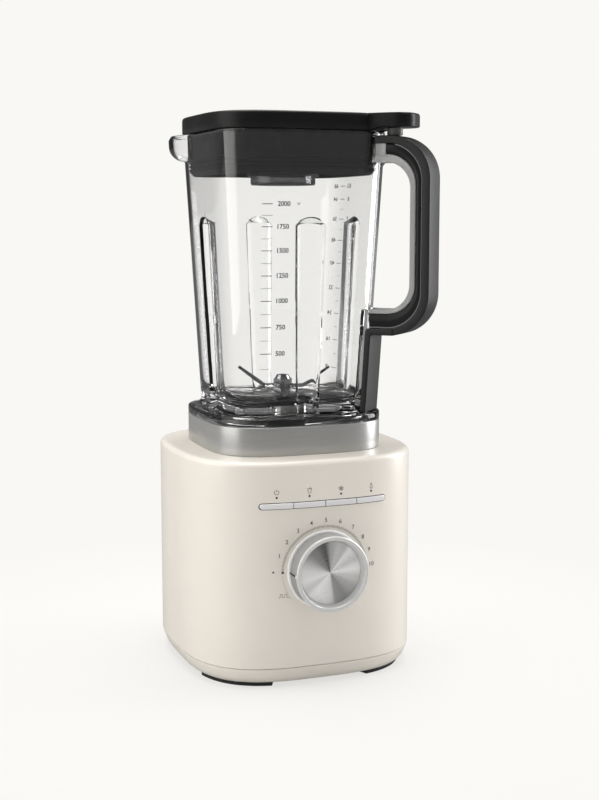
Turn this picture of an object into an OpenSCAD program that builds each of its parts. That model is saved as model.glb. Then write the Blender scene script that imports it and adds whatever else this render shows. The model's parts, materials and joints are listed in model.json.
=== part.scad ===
// Countertop blender: motor base, drive train, jar with blades, lid and measuring cap.
// Millimetres, +Z up, -Y is the front. The origin is where the drive axis meets the worktop.

/* [Base] */
// Width of the base, side to side
base_w = 188; // [184:1:192]
// Depth of the base, front to back
base_d = 191.2; // [188:0.2:194]
// Squareness of the base outline, 2 is an ellipse
base_n = 3.1; // [2.8:0.1:3.4]
// Height of the top of the base above the worktop
base_top = 176; // [172:1:180]
// Thickness of the base shell
base_wall = 3; // [2.5:0.1:3.2]
// Height of the seam between the shell and the bottom pan
seam_z = 15.7; // [14:0.1:17]
// Height of the feet
foot_h = 3.5; // [3:0.1:4]

/* [Collar] */
// Width of the metal collar that holds the jar
collar_w = 142; // [141:1:144]
// Height of the collar
collar_h = 22.5; // [21:0.5:24]
// Squareness of the collar outline
collar_n = 3.5; // [3.3:0.1:3.7]

/* [Jar] */
// Half width of the jar just above the collar
jar_low = 57.5; // [57:0.1:58]
// Half width of the jar at its rim
jar_high = 69.4; // [69:0.1:70]
// Squareness of the jar outline
jar_n = 5.6; // [5.2:0.1:6]
// Height of the jar rim above the worktop
jar_top = 423.2; // [422:0.1:424]
// Thickness of the jar wall
jar_wall = 3; // [2.8:0.1:3.2]
// Depth of the four flutes
flute_depth = 7.5; // [5:0.5:8]
// How far the spout stands out of the corner
spout_reach = 16; // [10:1:18]

/* [Handle] */
// Radius from the drive axis to the back of the grip
grip_reach = 129; // [127:1:131]
// Thickness of the handle, from the hand side to its back
grip_thick = 16; // [15:0.5:17]
// Width of the handle
grip_w = 24; // [22:0.5:25]

/* [Lid] */
// Half width of the lid plate
lid_half = 72.5; // [72:0.5:74]
// Squareness of the lid outline
lid_n = 3.9; // [3.7:0.1:4.1]
// Thickness of the lid plate
lid_plate = 13; // [12:0.5:14]
// Radius of the measuring cap's cup
cap_r = 26.4; // [25:0.1:27]

/* [Controls] */
// Height of the dial axis
dial_z = 91; // [88:1:94]
// Radius of the dial's front ring
dial_r = 29.8; // [28:0.2:30]
// How far the dial stands out of the front
dial_out = 14.2; // [12:0.2:15]
// Height of the key row
key_z = 142.5; // [140:0.5:145]
// Length of the key row
key_row = 103; // [98:1:106]
// Height of a key
key_h = 5.4; // [5:0.1:6]
// Travel of a key
key_travel = 1.2; // [1:0.1:1.5]

/* [Drive] */
// Radius of the motor shaft and of the blade shaft
shaft_r = 4; // [3.5:0.5:4]
// Radius of the rotor
rotor_r = 25; // [24:0.5:25]
// Radius of the swept circle of the raised blades
blade_r = 39; // [34:1:40]

/* [Hidden] */
$fn = 64;
facets = 80;
half_w = base_w / 2;
half_d = base_d / 2;
pan_inset = 6.5;
pan_floor = foot_h + 3;
collar_half = collar_w / 2;
collar_wall = 3.5;
collar_top = base_top + collar_h;
jar_slope = (jar_high - jar_low) / (jar_top - collar_top);
jar_foot = base_top + 8.2;
flange_top = collar_top + 6.3;
jar_floor = flange_top + 7;
flute_top = 358;
spout_foot = 404;
handle_dir = -45;
spout_dir = 135;
gap_low = 286.5;
gap_high = 399.5;
handle_low = 265.5;
handle_high = 419.7;
gap_reach = grip_reach - grip_thick;
gap_round = 20;
grip_round = 32.5;
core_skin = 3.5;
core_w = 23;
tongue = 8;
strip_spread = 11.5;
lid_low = jar_top + 0.4;
lid_top = lid_low + lid_plate;
plug_low = 389.8;
seal_high = 402;
post_r = 96;
tab_reach = 114;
tab_half = 16;
cap_low = 383;
cap_gap = 0.25;
face_y = -half_d;
bezel_r = dial_r + 2.5;
bezel_y = face_y - 0.7;
bolt_x = 38;
bolt_y = 32;
bolt_r = 2;
boss_at = 62;
run = 0.04;
bracket_low = 50;
stator_low = 72;
stator_high = 112;
bracket_high = 144;
coupler_low = 179;
coupler_high = 191;
socket_low = 187.5;
blade_z = 218.5;
keys = ["power", "smoothie", "ice", "clean"];
key_pitch = key_row / len(keys);

// Distance from the axis to a superellipse in direction p
function reach(a, b, n, p) =
    pow(pow(abs(cos(p)) / a, n) + pow(abs(sin(p)) / b, n), -1 / n);

// A superellipse as a closed list of points
function rim(a, b, n) = [
    for (i = [0:facets - 1])
        let (p = 360 * i / facets)
        reach(a, b, n, p) * [cos(p), sin(p)]
];

// The same outline at a height
function ring(z, a, b, n) = [for (q = rim(a, b, n)) [q.x, q.y, z]];

// A ring of the base outline, drawn in by an inset
function base_ring(z, inset) = ring(z, half_w - inset, half_d - inset, base_n);

// Smooth step from 0 at a to 1 at b
function ease(a, b, x) =
    let (t = max(0, min(1, (x - a) / (b - a))))
    t * t * (3 - 2 * t);

// Half width of the jar at a height
function jar_half(z) = jar_low + (z - collar_top) * jar_slope;

// How deep a flute is in direction p, for a wall at distance d
function flute(p, d, z) =
    let (off = abs(d * sin(((p + 45) % 90) - 45)))
    let (half = 9.5 + (z - 237) * 0.022)
    off >= half ? 0 : flute_depth * pow(cos(90 * off / half), 0.5)
        * (1 - ease(flute_top - 7, flute_top, z));

// How far the spout swells the corner in direction p
function spout(p, z) =
    let (off = abs(p - spout_dir))
    off >= 26 ? 0 : spout_reach * pow(cos(90 * off / 26), 1.4)
        * ease(spout_foot, jar_top - 3, z);

// A ring of the jar, drawn in by an inset
function jar_ring(z, inset) = [
    for (i = [0:facets - 1])
        let (p = 360 * i / facets)
        let (d = reach(jar_half(z) - inset, jar_half(z) - inset, jar_n, p))
        let (s = d - flute(p, d, z) + spout(p, z))
        [s * cos(p), s * sin(p), z]
];

// An angular band between two outlines, as a closed list of points
function band(z, outer, inner, n, from, to, steps) = concat(
    [for (i = [0:steps])
        let (p = from + (to - from) * i / steps)
        let (d = reach(outer.x, outer.y, n, p))
        [d * cos(p), d * sin(p), z]],
    [for (i = [steps:-1:0])
        let (p = from + (to - from) * i / steps)
        let (d = reach(inner.x, inner.y, n, p))
        [d * cos(p), d * sin(p), z]]
);

function flat(points) = [for (q = points) [q.x, q.y]];

// A star for the splined couplings
function star(outer, inner, teeth) = [
    for (i = [0:2 * teeth - 1])
        let (d = i % 2 == 0 ? outer : inner)
        d * [cos(180 * i / teeth), sin(180 * i / teeth)]
];

// Closed solid through a list of rings, each with the same number of points
module loft(rings) {
    m = len(rings[0]);
    last = len(rings) - 1;
    polyhedron(
        points = [for (r = rings) for (q = r) q],
        faces = concat(
            [[for (i = [0:m - 1]) i]],
            [for (k = [0:last - 1]) for (i = [0:m - 1])
                let (j = (i + 1) % m)
                [k * m + i, (k + 1) * m + i, (k + 1) * m + j]],
            [for (k = [0:last - 1]) for (i = [0:m - 1])
                let (j = (i + 1) % m)
                [k * m + i, (k + 1) * m + j, k * m + j]],
            [[for (i = [m - 1:-1:0]) last * m + i]]
        ),
        convexity = 10
    );
}

module prism(a, b, n, from, to) {
    translate([0, 0, from])
        linear_extrude(to - from)
            polygon(rim(a, b, n));
}

module tube(from, to, outer, inner) {
    translate([0, 0, from])
        difference() {
            cylinder(h = to - from, r = outer);
            translate([0, 0, -1])
                cylinder(h = to - from + 2, r = inner);
        }
}

// Cylinder along Y from one depth to another
module rod_y(x, z, from, to, r) {
    translate([x, from, z])
        rotate([-90, 0, 0])
            cylinder(h = to - from, r = r);
}

// Long slot with round ends, across X, cut along Y
module slot_y(z, length, height, from, to) {
    r = height / 2;
    rod_y(-length / 2 + r, z, from, to, r);
    rod_y(length / 2 - r, z, from, to, r);
    translate([-length / 2 + r, from, z - r])
        cube([length - height, to - from, height]);
}

module at_bolts() {
    for (x = [-bolt_x, bolt_x])
        for (y = [-bolt_y, bolt_y])
            translate([x, y, 0])
                children();
}

module at_bosses() {
    for (x = [-boss_at, boss_at])
        for (y = [-boss_at, boss_at])
            translate([x, y, 0])
                children();
}

// Outline in the handle's plane, extruded across it: x is the radius, y is the height
module across_handle(width) {
    rotate([90, 0, handle_dir])
        linear_extrude(width, center = true)
            children();
}

// Rectangle from the jar side whose two far corners are round
module reach_outline(near, far, low, high, r) {
    intersection() {
        union() {
            translate([near, low])
                square([far - r - near, high - low]);
            translate([far - r - 1, low + r])
                square([r + 1, high - low - 2 * r]);
            for (z = [low + r, high - r])
                translate([far - r, z])
                    circle(r);
        }
        translate([near, low - 1])
            square([far - near + 1, high - low + 2]);
    }
}

// The bow of the handle between an inner and an outer skin, each set out from the finger gap
module bow(near, inner, outer) {
    difference() {
        reach_outline(near, gap_reach + outer, gap_low - outer, gap_high + outer,
            gap_round + outer);
        reach_outline(near - 1, gap_reach + inner, gap_low - inner, gap_high + inner,
            gap_round + inner);
    }
}

module housing() {
    color("ivory")
        difference() {
            union() {
                loft([
                    base_ring(base_top - base_wall, base_wall + 4),
                    base_ring(base_top - base_wall - 4, base_wall),
                    base_ring(seam_z + 0.5, base_wall),
                    base_ring(seam_z + 0.5, 0),
                    base_ring(base_top - 7, 0),
                    base_ring(base_top - 4, 0.8),
                    base_ring(base_top - 1.6, 2.8),
                    base_ring(base_top, 6)
                ]);
                at_bosses()
                    translate([0, 0, 20])
                        cylinder(h = 40, r = 7);
                for (p = [45:90:315])
                    rotate(p)
                        translate([boss_at * sqrt(2), -2, 20])
                            cube([17, 4, 40]);
            }
            translate([0, 0, base_top - 10])
                cylinder(h = 20, r = 24);
            rod_y(0, dial_z, face_y - 5, face_y + 12, bezel_r + 0.1);
            slot_y(key_z, key_row + 2.4, key_h + 2.4, face_y - 5, face_y + 20);
            for (i = [0:3])
                rod_y((i - 1.5) * key_pitch, key_z + 7.2, face_y - 5, face_y + 20, 1);
            rod_y(0, 30, half_d - 12, half_d + 5, 7.1);
            at_bosses()
                translate([0, 0, 19])
                    cylinder(h = 30, r = 1.8);
        }
}

module base_pan() {
    color("ivory")
        difference() {
            union() {
                loft([
                    base_ring(foot_h, pan_inset),
                    base_ring(foot_h + 4.5, pan_inset - 3.4),
                    base_ring(foot_h + 8.5, pan_inset - 5.5),
                    base_ring(seam_z, 0),
                    base_ring(seam_z, base_wall),
                    base_ring(pan_floor, pan_inset + 1)
                ]);
                at_bolts()
                    translate([0, 0, pan_floor - 1])
                        cylinder(h = 46 - pan_floor + 1, r = 5);
                at_bosses()
                    translate([0, 0, pan_floor - 1])
                        cylinder(h = 19.9 - pan_floor + 1, r = 5.5);
            }
            at_bolts()
                translate([0, 0, 24])
                    cylinder(h = 30, r = bolt_r);
            at_bosses() {
                translate([0, 0, foot_h - 1])
                    cylinder(h = 8, r = 3.7);
                translate([0, 0, foot_h])
                    cylinder(h = 30, r = 2.05);
            }
            for (i = [-4:4])
                translate([i * 8 - 2, -sqrt(36 * 36 - i * i * 64) + 2, 0])
                    cube([4, 2 * sqrt(36 * 36 - i * i * 64) - 4, 20]);
            for (i = [-4:4])
                translate([i * 9 - 2.5, 60, 0])
                    cube([5, 14, 20]);
        }
}

module foot(sx, sy) {
    color("black")
        mirror([sx < 0 ? 1 : 0, 0, 0])
            mirror([0, sy < 0 ? 1 : 0, 0])
                linear_extrude(foot_h)
                    polygon(flat(band(0, [half_w - 7.5, half_d - 7.5],
                        [half_w - 18, half_d - 18], base_n, 27, 65, 12)));
}

module foot_front_left() {
    foot(-1, -1);
}

module foot_front_right() {
    foot(1, -1);
}

module foot_rear_left() {
    foot(-1, 1);
}

module foot_rear_right() {
    foot(1, 1);
}

module collar() {
    color("silver")
        difference() {
            prism(collar_half, collar_half, collar_n, base_top, collar_top);
            prism(collar_half - collar_wall, collar_half - collar_wall, collar_n,
                base_top - 1, collar_top + 1);
        }
}

module seat_pad() {
    inside = collar_half - collar_wall - 0.1;
    color("dimgray")
        difference() {
            prism(inside, inside, collar_n, base_top, base_top + 6.5);
            translate([0, 0, base_top - 1])
                cylinder(h = 10, r = 24);
            for (p = [0:90:270])
                rotate(p)
                    translate([42, -9, base_top + 4])
                        cube([12, 18, 5]);
        }
}

module dial_bezel() {
    color("ivory")
        difference() {
            rod_y(0, dial_z, bezel_y, face_y + 5, bezel_r);
            rod_y(0, dial_z, bezel_y - 1, face_y + 6, 5.9);
        }
}

// Slice of the front wall between two offsets from the base outline, within a width
module front_band(out, in, width, from, to) {
    translate([0, 0, from])
        linear_extrude(to - from)
            intersection() {
                difference() {
                    polygon(rim(half_w + out, half_d + out, base_n));
                    polygon(rim(half_w - in, half_d - in, base_n));
                }
                translate([-width / 2, -half_d - 10])
                    square([width, 60]);
            }
}

module key_frame() {
    length = key_row + 2.2;
    height = key_h + 2.2;
    color("dimgray")
        difference() {
            intersection() {
                front_band(-0.1, 8, length, key_z - height / 2, key_z + height / 2);
                slot_y(key_z, length, height, face_y - 5, face_y + 30);
            }
            slot_y(key_z, key_row + 0.6, key_h + 0.6, face_y - 6, face_y + 31);
        }
}

// One key of the row: its place along the row, its cap and its stem
module key_cap(i) {
    x = (i - 1.5) * key_pitch;
    color("gainsboro") {
        intersection() {
            front_band(key_travel, 2.4, key_row, key_z - key_h / 2, key_z + key_h / 2);
            slot_y(key_z, key_row, key_h, face_y - 5, face_y + 30);
            translate([x - key_pitch / 2 + 0.25, face_y - 10, key_z - key_h])
                cube([key_pitch - 0.5, 60, 2 * key_h]);
        }
        rod_y(x, key_z, face_y + 1.8, face_y + 11.4, 1.4);
    }
}

module key_power() {
    key_cap(0);
}

module key_smoothie() {
    key_cap(1);
}

module key_ice() {
    key_cap(2);
}

module key_clean() {
    key_cap(3);
}

module key_board() {
    color("darkgreen")
        translate([-key_row / 2 - 2, face_y + 17.6, key_z - 11])
            cube([key_row + 4, 1.6, 26]);
}

module key_switches() {
    color("dimgray")
        for (i = [0:3])
            translate([(i - 1.5) * key_pitch, 0, 0]) {
                translate([-3, face_y + 14.2, key_z - 3])
                    cube([6, 3.4, 6]);
                rod_y(0, key_z, face_y + 12.8, face_y + 14.3, 1.6);
            }
}

module indicator_lamps() {
    color("black")
        for (i = [0:3])
            intersection() {
                front_band(0.15, 20, key_row, key_z, key_z + 12);
                rod_y((i - 1.5) * key_pitch, key_z + 7.2, face_y - 5, face_y + 17.6, 0.9);
            }
}

module dial_encoder() {
    color("dimgray")
        difference() {
            union() {
                translate([-9, face_y + 9, dial_z - 9])
                    cube([18, 9, 18]);
                rod_y(0, dial_z, face_y + 0.5, face_y + 10, 5.8);
            }
            rod_y(0, dial_z, face_y - 1, face_y + 15, 3 + run);
        }
}

module control_board() {
    color("darkgreen")
        translate([-42, face_y + 18, 56])
            cube([84, 1.6, 70]);
    color("black") {
        rod_y(-26, 76, face_y + 19.6, face_y + 44, 8);
        rod_y(-8, 72, face_y + 19.6, face_y + 36, 5);
        translate([10, face_y + 19.6, 66])
            cube([20, 15, 14]);
    }
    color("silver")
        for (i = [0:4])
            translate([8 + i * 5, face_y + 19.6, 92])
                cube([2, 18, 26]);
}

module motor_stator() {
    color("slategray")
        difference() {
            translate([-44, -38, stator_low])
                cube([88, 76, stator_high - stator_low]);
            translate([0, 0, stator_low - 1])
                cylinder(h = stator_high - stator_low + 2, r = rotor_r + 0.5);
            for (x = [-36.3, 25.7])
                for (y = [-26.3, 16.7])
                    translate([x, y, stator_low - 1])
                        cube([10.6, 9.6, stator_high - stator_low + 2]);
            at_bolts()
                translate([0, 0, stator_low - 1])
                    cylinder(h = stator_high - stator_low + 2, r = bolt_r + 0.1);
        }
}

module field_coils() {
    color("chocolate")
        for (x = [-36, 26])
            difference() {
                translate([x, -26, stator_low - 11])
                    cube([10, 52, stator_high - stator_low + 22]);
                translate([x - 1, -17, stator_low - 3])
                    cube([12, 34, stator_high - stator_low + 6]);
            }
}

// Cross of two arms with a bored bearing boss and a leg at each bolt
module bracket(from, thick, boss, seat_r, seat, leg) {
    difference() {
        union() {
            translate([0, 0, from])
                linear_extrude(thick) {
                    for (s = [-1, 1])
                        rotate(s * atan2(bolt_y, bolt_x))
                            square([92, 12], center = true);
                    at_bolts()
                        circle(7);
                }
            translate([0, 0, boss[0]])
                cylinder(h = boss[1] - boss[0], r = seat_r + 4);
            at_bolts()
                translate([0, 0, leg[0]])
                    cylinder(h = leg[1] - leg[0], r = 4.8);
        }
        translate([0, 0, boss[0] - 1])
            cylinder(h = boss[1] - boss[0] + 2, r = shaft_r + 2);
        translate([0, 0, seat[0]])
            cylinder(h = seat[1] - seat[0], r = seat_r);
        at_bolts()
            translate([0, 0, min(from, leg[0]) - 1])
                cylinder(h = abs(leg[1] - leg[0]) + thick + 2, r = bolt_r + 0.1);
    }
}

module upper_bracket() {
    color("silver")
        bracket(bracket_high, 5, [bracket_high - 3, bracket_high + 8], 13,
            [bracket_high - 1, bracket_high + 9], [stator_high, bracket_high + 2]);
}

module lower_bracket() {
    color("silver")
        bracket(bracket_low, 5, [bracket_low - 2, bracket_low + 8], 11,
            [bracket_low, bracket_low + 9], [bracket_low + 3, stator_low]);
}

// Ball bearing drawn as an inner race, an outer race and a ring of balls
module bearing(from, to, outer, inner) {
    mid = (outer + inner) / 2;
    gap = (outer - inner) / 6;
    tube(from, to, outer, mid + gap);
    tube(from, to, mid - gap, inner);
    for (i = [0:7])
        rotate(45 * i)
            translate([mid, 0, (from + to) / 2])
                sphere(gap + 0.2);
}

module upper_bearing() {
    color("lightgray")
        bearing(bracket_high - 1, bracket_high + 7, 13, shaft_r + run);
}

module lower_bearing() {
    color("lightgray")
        bearing(bracket_low, bracket_low + 7, 11, shaft_r + run);
}

module brush_holders() {
    color("goldenrod")
        for (a = [0, 180])
            rotate(a)
                translate([12.5, 0, 131])
                    difference() {
                        translate([0, -6, -6])
                            cube([22, 12, bracket_high - 128]);
                        translate([-1, -3.1, -4.1])
                            cube([21, 6.2, 8.2]);
                    }
}

module carbon_brushes() {
    color("black")
        for (a = [0, 180])
            rotate(a)
                translate([11.4, -3, 127])
                    cube([11, 6, 8]);
}

module brush_springs() {
    color("silver")
        for (a = [0, 180])
            rotate(a)
                for (i = [0:3])
                    translate([23 + i * 2.6, 0, 131])
                        rotate([0, 90, 0])
                            rotate_extrude()
                                translate([2, 0])
                                    circle(0.5, $fn = 16);
}

module motor_mounts() {
    color("dimgray")
        at_bolts()
            tube(46, bracket_low, 6, bolt_r + 0.1);
}

module fan_shroud() {
    color("dimgray")
        tube(pan_floor, 46, 42, 39.5);
}

module cord_inlet() {
    color("dimgray")
        difference() {
            union() {
                rod_y(0, 30, half_d - 10, half_d + 1, 7);
                rod_y(0, 30, half_d + 0.2, half_d + 3, 10);
                rod_y(0, 30, half_d - 10, half_d - 7, 10);
            }
            rod_y(0, 30, half_d - 11, half_d + 4, 3.6);
        }
}

module motor_screws() {
    color("gray")
        at_bolts() {
            translate([0, 0, 26])
                cylinder(h = bracket_high + 6 - 26, r = bolt_r - 0.02);
            translate([0, 0, bracket_high + 5])
                cylinder(h = 3, r = 4, $fn = 6);
        }
}

module housing_screws() {
    color("gray")
        at_bosses() {
            translate([0, 0, foot_h + 4])
                cylinder(h = 34, r = 1.78);
            translate([0, 0, foot_h + 4])
                cylinder(h = 2.9, r = 3.4);
        }
}

module motor_shaft() {
    color("silver")
        translate([0, 0, 26])
            cylinder(h = coupler_high - 1.5 - 26, r = shaft_r);
}

module rotor_core() {
    color("slategray")
        difference() {
            tube(stator_low, stator_high, rotor_r, shaft_r);
            for (i = [0:11])
                rotate(30 * i + 15)
                    translate([rotor_r - 3, 0, stator_low - 1])
                        cylinder(h = stator_high - stator_low + 2, r = 2.2);
        }
}

module rotor_windings() {
    color("chocolate") {
        tube(stator_high, stator_high + 9, 20, shaft_r);
        tube(stator_low - 9, stator_low, 20, shaft_r);
        for (i = [0:11])
            rotate(30 * i + 15)
                translate([rotor_r - 3, 0, stator_low - 2])
                    cylinder(h = stator_high - stator_low + 4, r = 1.8);
        for (z = [stator_low - 3, stator_high])
            tube(z, z + 3, 23, 19);
    }
}

module commutator() {
    color("peru")
        difference() {
            tube(124, 138, 11, shaft_r);
            for (i = [0:15])
                rotate(22.5 * i)
                    translate([9.8, -0.3, 123])
                        cube([4, 0.6, 16]);
        }
}

module cooling_fan() {
    color("whitesmoke") {
        tube(29, 43, 9, shaft_r);
        tube(29, 31, 37, 8);
        for (i = [0:8])
            rotate(40 * i)
                translate([8.5, -1, 30.5])
                    rotate([0, 0, 12])
                        cube([28, 2, 11]);
    }
}

module drive_coupler() {
    color("dimgray")
        difference() {
            union() {
                translate([0, 0, coupler_low])
                    linear_extrude(coupler_high - coupler_low)
                        polygon(star(12, 9.2, 8));
                translate([0, 0, coupler_low - 2])
                    cylinder(h = 5, r = 14);
            }
            translate([0, 0, coupler_low - 3])
                cylinder(h = coupler_high - coupler_low + 1.5, r = shaft_r);
        }
}

module dial() {
    back = bezel_y - 0.5;
    front = face_y - dial_out;
    color("silver") {
        translate([0, back, dial_z])
            rotate([90, 0, 0])
                rotate_extrude()
                    polygon([
                        [3, 3], [3, 0], [dial_r - 1.4, 0], [dial_r - 0.9, back - front - 4.5],
                        [dial_r, back - front - 3.6], [dial_r, back - front - 0.8],
                        [dial_r - 0.8, back - front], [dial_r - 3.6, back - front],
                        [dial_r - 4.6, back - front - 1.9], [dial_r - 4.6, back - front - 3],
                        [dial_r - 5.6, back - front - 3], [dial_r - 5.6, 3]
                    ]);
        translate([0, back, dial_z])
            rotate([90, 0, 0])
                tube(2, back - front - 4, 7, 3);
        translate([-dial_r - 0.4, front + 4.2, dial_z - 0.5])
            cube([2.4, back - front - 4.2, 1]);
    }
}

module dial_insert() {
    front = face_y - dial_out;
    color("lightgray")
        translate([0, front + 3.9, dial_z])
            rotate([90, 0, 0])
                rotate_extrude()
                    polygon([
                        [0, 0], [dial_r - 5.7, 0], [dial_r - 5.7, 0.9], [dial_r - 4.7, 0.9],
                        [dial_r - 4.7, 2.1], [0, 1.2]
                    ]);
}

module dial_shaft() {
    color("gray")
        rod_y(0, dial_z, face_y - dial_out + 4, face_y + 14.5, 3 - 0.01);
}

module handle_core() {
    across_handle(core_w)
        bow(81.8, 0, core_skin);
    across_handle(14)
        bow(81.8, core_skin - 0.1, tongue);
}

// The lower arm's core reaches further in, because the jar is narrower there
module handle_root() {
    across_handle(core_w)
        translate([75.4, gap_low - core_skin])
            square([8, core_skin]);
    across_handle(14)
        translate([75.4, gap_low - tongue])
            square([8, tongue - 1]);
}

module jar() {
    skirt = collar_half - collar_wall - 0.8;
    color("lightcyan", 0.35)
        difference() {
            union() {
                loft([
                    ring(flange_top - 0.6, 59, 59, collar_n),
                    ring(jar_foot, 59, 59, collar_n),
                    ring(jar_foot, skirt, skirt, collar_n),
                    ring(collar_top + 0.3, skirt, skirt, collar_n),
                    ring(collar_top + 0.3, collar_half, collar_half, collar_n),
                    ring(flange_top, collar_half, collar_half, collar_n),
                    jar_ring(flange_top, 0),
                    jar_ring(flute_top - 7, 0),
                    jar_ring(flute_top - 4, 0),
                    jar_ring(flute_top - 2, 0),
                    jar_ring(flute_top, 0),
                    jar_ring(spout_foot, 0),
                    jar_ring(spout_foot + 6, 0),
                    jar_ring(spout_foot + 11, 0),
                    jar_ring(jar_top - 3, 0),
                    jar_ring(jar_top, 0),
                    jar_ring(jar_top, jar_wall),
                    jar_ring(jar_top - 3, jar_wall),
                    jar_ring(spout_foot + 11, jar_wall),
                    jar_ring(spout_foot + 6, jar_wall),
                    jar_ring(spout_foot, jar_wall),
                    jar_ring(flute_top, jar_wall),
                    jar_ring(flute_top - 2, jar_wall),
                    jar_ring(flute_top - 4, jar_wall),
                    jar_ring(flute_top - 7, jar_wall),
                    jar_ring(jar_floor + 9, jar_wall),
                    jar_ring(jar_floor + 2.5, jar_wall + 3),
                    jar_ring(jar_floor, jar_wall + 9)
                ]);
                handle_core();
                handle_root();
            }
            translate([0, 0, flange_top - 2])
                cylinder(h = 12, r = 17);
        }
}

module handle_grip() {
    low = handle_low;
    foot = flange_top + 0.3;
    color("black")
        difference() {
            union() {
                across_handle(grip_w)
                    difference() {
                        reach_outline(87, grip_reach, low, handle_high, grip_round);
                        reach_outline(86, gap_reach + core_skin + 0.05,
                            gap_low - core_skin - 0.05, gap_high + core_skin + 0.05,
                            gap_round + core_skin + 0.05);
                    }
                across_handle(grip_w)
                    translate([78.8, low])
                        square([12, gap_low - core_skin - 0.05 - low]);
                loft([
                    band(foot, [jar_half(foot) + 6.2, jar_half(foot) + 6.2],
                        [jar_half(foot) + 1, jar_half(foot) + 1], jar_n,
                        handle_dir - strip_spread, handle_dir + strip_spread, 10),
                    band(low + 10, [jar_half(low + 10) + 6.2, jar_half(low + 10) + 6.2],
                        [jar_half(low + 10) + 1, jar_half(low + 10) + 1], jar_n,
                        handle_dir - strip_spread, handle_dir + strip_spread, 10)
                ]);
            }
            across_handle(14.2)
                bow(60, core_skin - 1, tongue + 0.1);
            for (z = [gap_high + tongue - 1, gap_low - tongue - 6.4])
                rotate(handle_dir)
                    translate([100, 0, z])
                        cylinder(h = 7.4, r = 1.5);
        }
}

module handle_screws() {
    color("gray")
        rotate(handle_dir)
            translate([100, 0, 0]) {
                translate([0, 0, gap_high + tongue + 0.2])
                    cylinder(h = 6, r = 1.48);
                translate([0, 0, gap_low - tongue - 6.2])
                    cylinder(h = 6, r = 1.48);
            }
}

module blade_housing() {
    color("lightgray")
        difference() {
            union() {
                translate([0, 0, 200.5])
                    cylinder(h = 15, r = 16.8);
                translate([0, 0, 200.5])
                    cylinder(h = flange_top - 0.8 - 200.5, r = 22, $fn = 6);
                translate([0, 0, jar_floor + 0.1])
                    cylinder(h = 2.6, r = 25);
                translate([0, 0, 213])
                    cylinder(h = 5, r1 = 14, r2 = 11.5);
            }
            translate([0, 0, 199])
                cylinder(h = 17.5, r = 9);
            translate([0, 0, 199])
                cylinder(h = 30, r = shaft_r + 0.6);
        }
}

module blade_bearings() {
    color("silver") {
        bearing(201, 206, 8.98, shaft_r + run);
        bearing(208.5, 213.5, 8.98, shaft_r + run);
    }
}

module shaft_seal() {
    color("black")
        tube(213.7, 216.3, 8.98, shaft_r + 0.1);
}

module blade_shaft() {
    color("silver")
        translate([0, 0, 194.5])
            cylinder(h = 231 - 194.5, r = shaft_r);
}

// Two opposite wings that leave the hub flat and then bend by a pitch angle
module wings(z, flat_r, tip_r, pitch, heading) {
    run_out = (tip_r - flat_r) / cos(pitch);
    difference() {
        union() {
            translate([0, 0, z])
                cylinder(h = 2, r = 9.5);
            for (a = [heading, heading + 180])
                rotate(a) {
                    translate([0, 0, z])
                        linear_extrude(2)
                            polygon([[0, -8], [flat_r, -7.5], [flat_r, 6.5], [0, 8]]);
                    translate([flat_r - 0.4, 0, z])
                        rotate([0, -pitch, 0])
                            linear_extrude(2)
                                polygon([[0, -7.5], [run_out * 0.6, -6.5], [run_out, -1],
                                    [run_out, 2], [run_out * 0.5, 6], [0, 6.5]]);
                }
        }
        translate([0, 0, z - 1])
            cylinder(h = 4, r = shaft_r);
    }
}

module lower_blade() {
    color("silver")
        wings(blade_z, 17, 41, -9, 70);
}

module upper_blade() {
    color("silver")
        wings(blade_z + 2.1, 15, blade_r, 34, -20);
}

module blade_nut() {
    color("gray")
        difference() {
            union() {
                translate([0, 0, blade_z + 4.2])
                    cylinder(h = 5, r = 8, $fn = 6);
                translate([0, 0, blade_z + 9.2])
                    cylinder(h = 3, r1 = 6.5, r2 = 5);
            }
            translate([0, 0, blade_z + 3])
                cylinder(h = 10, r = shaft_r);
        }
}

module driven_coupler() {
    color("black")
        difference() {
            translate([0, 0, socket_low])
                cylinder(h = 12, r = 17);
            translate([0, 0, socket_low - 1])
                linear_extrude(6.5)
                    polygon(star(12.5, 9.7, 8));
            translate([0, 0, socket_low - 1])
                cylinder(h = 14, r = shaft_r);
        }
}

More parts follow.
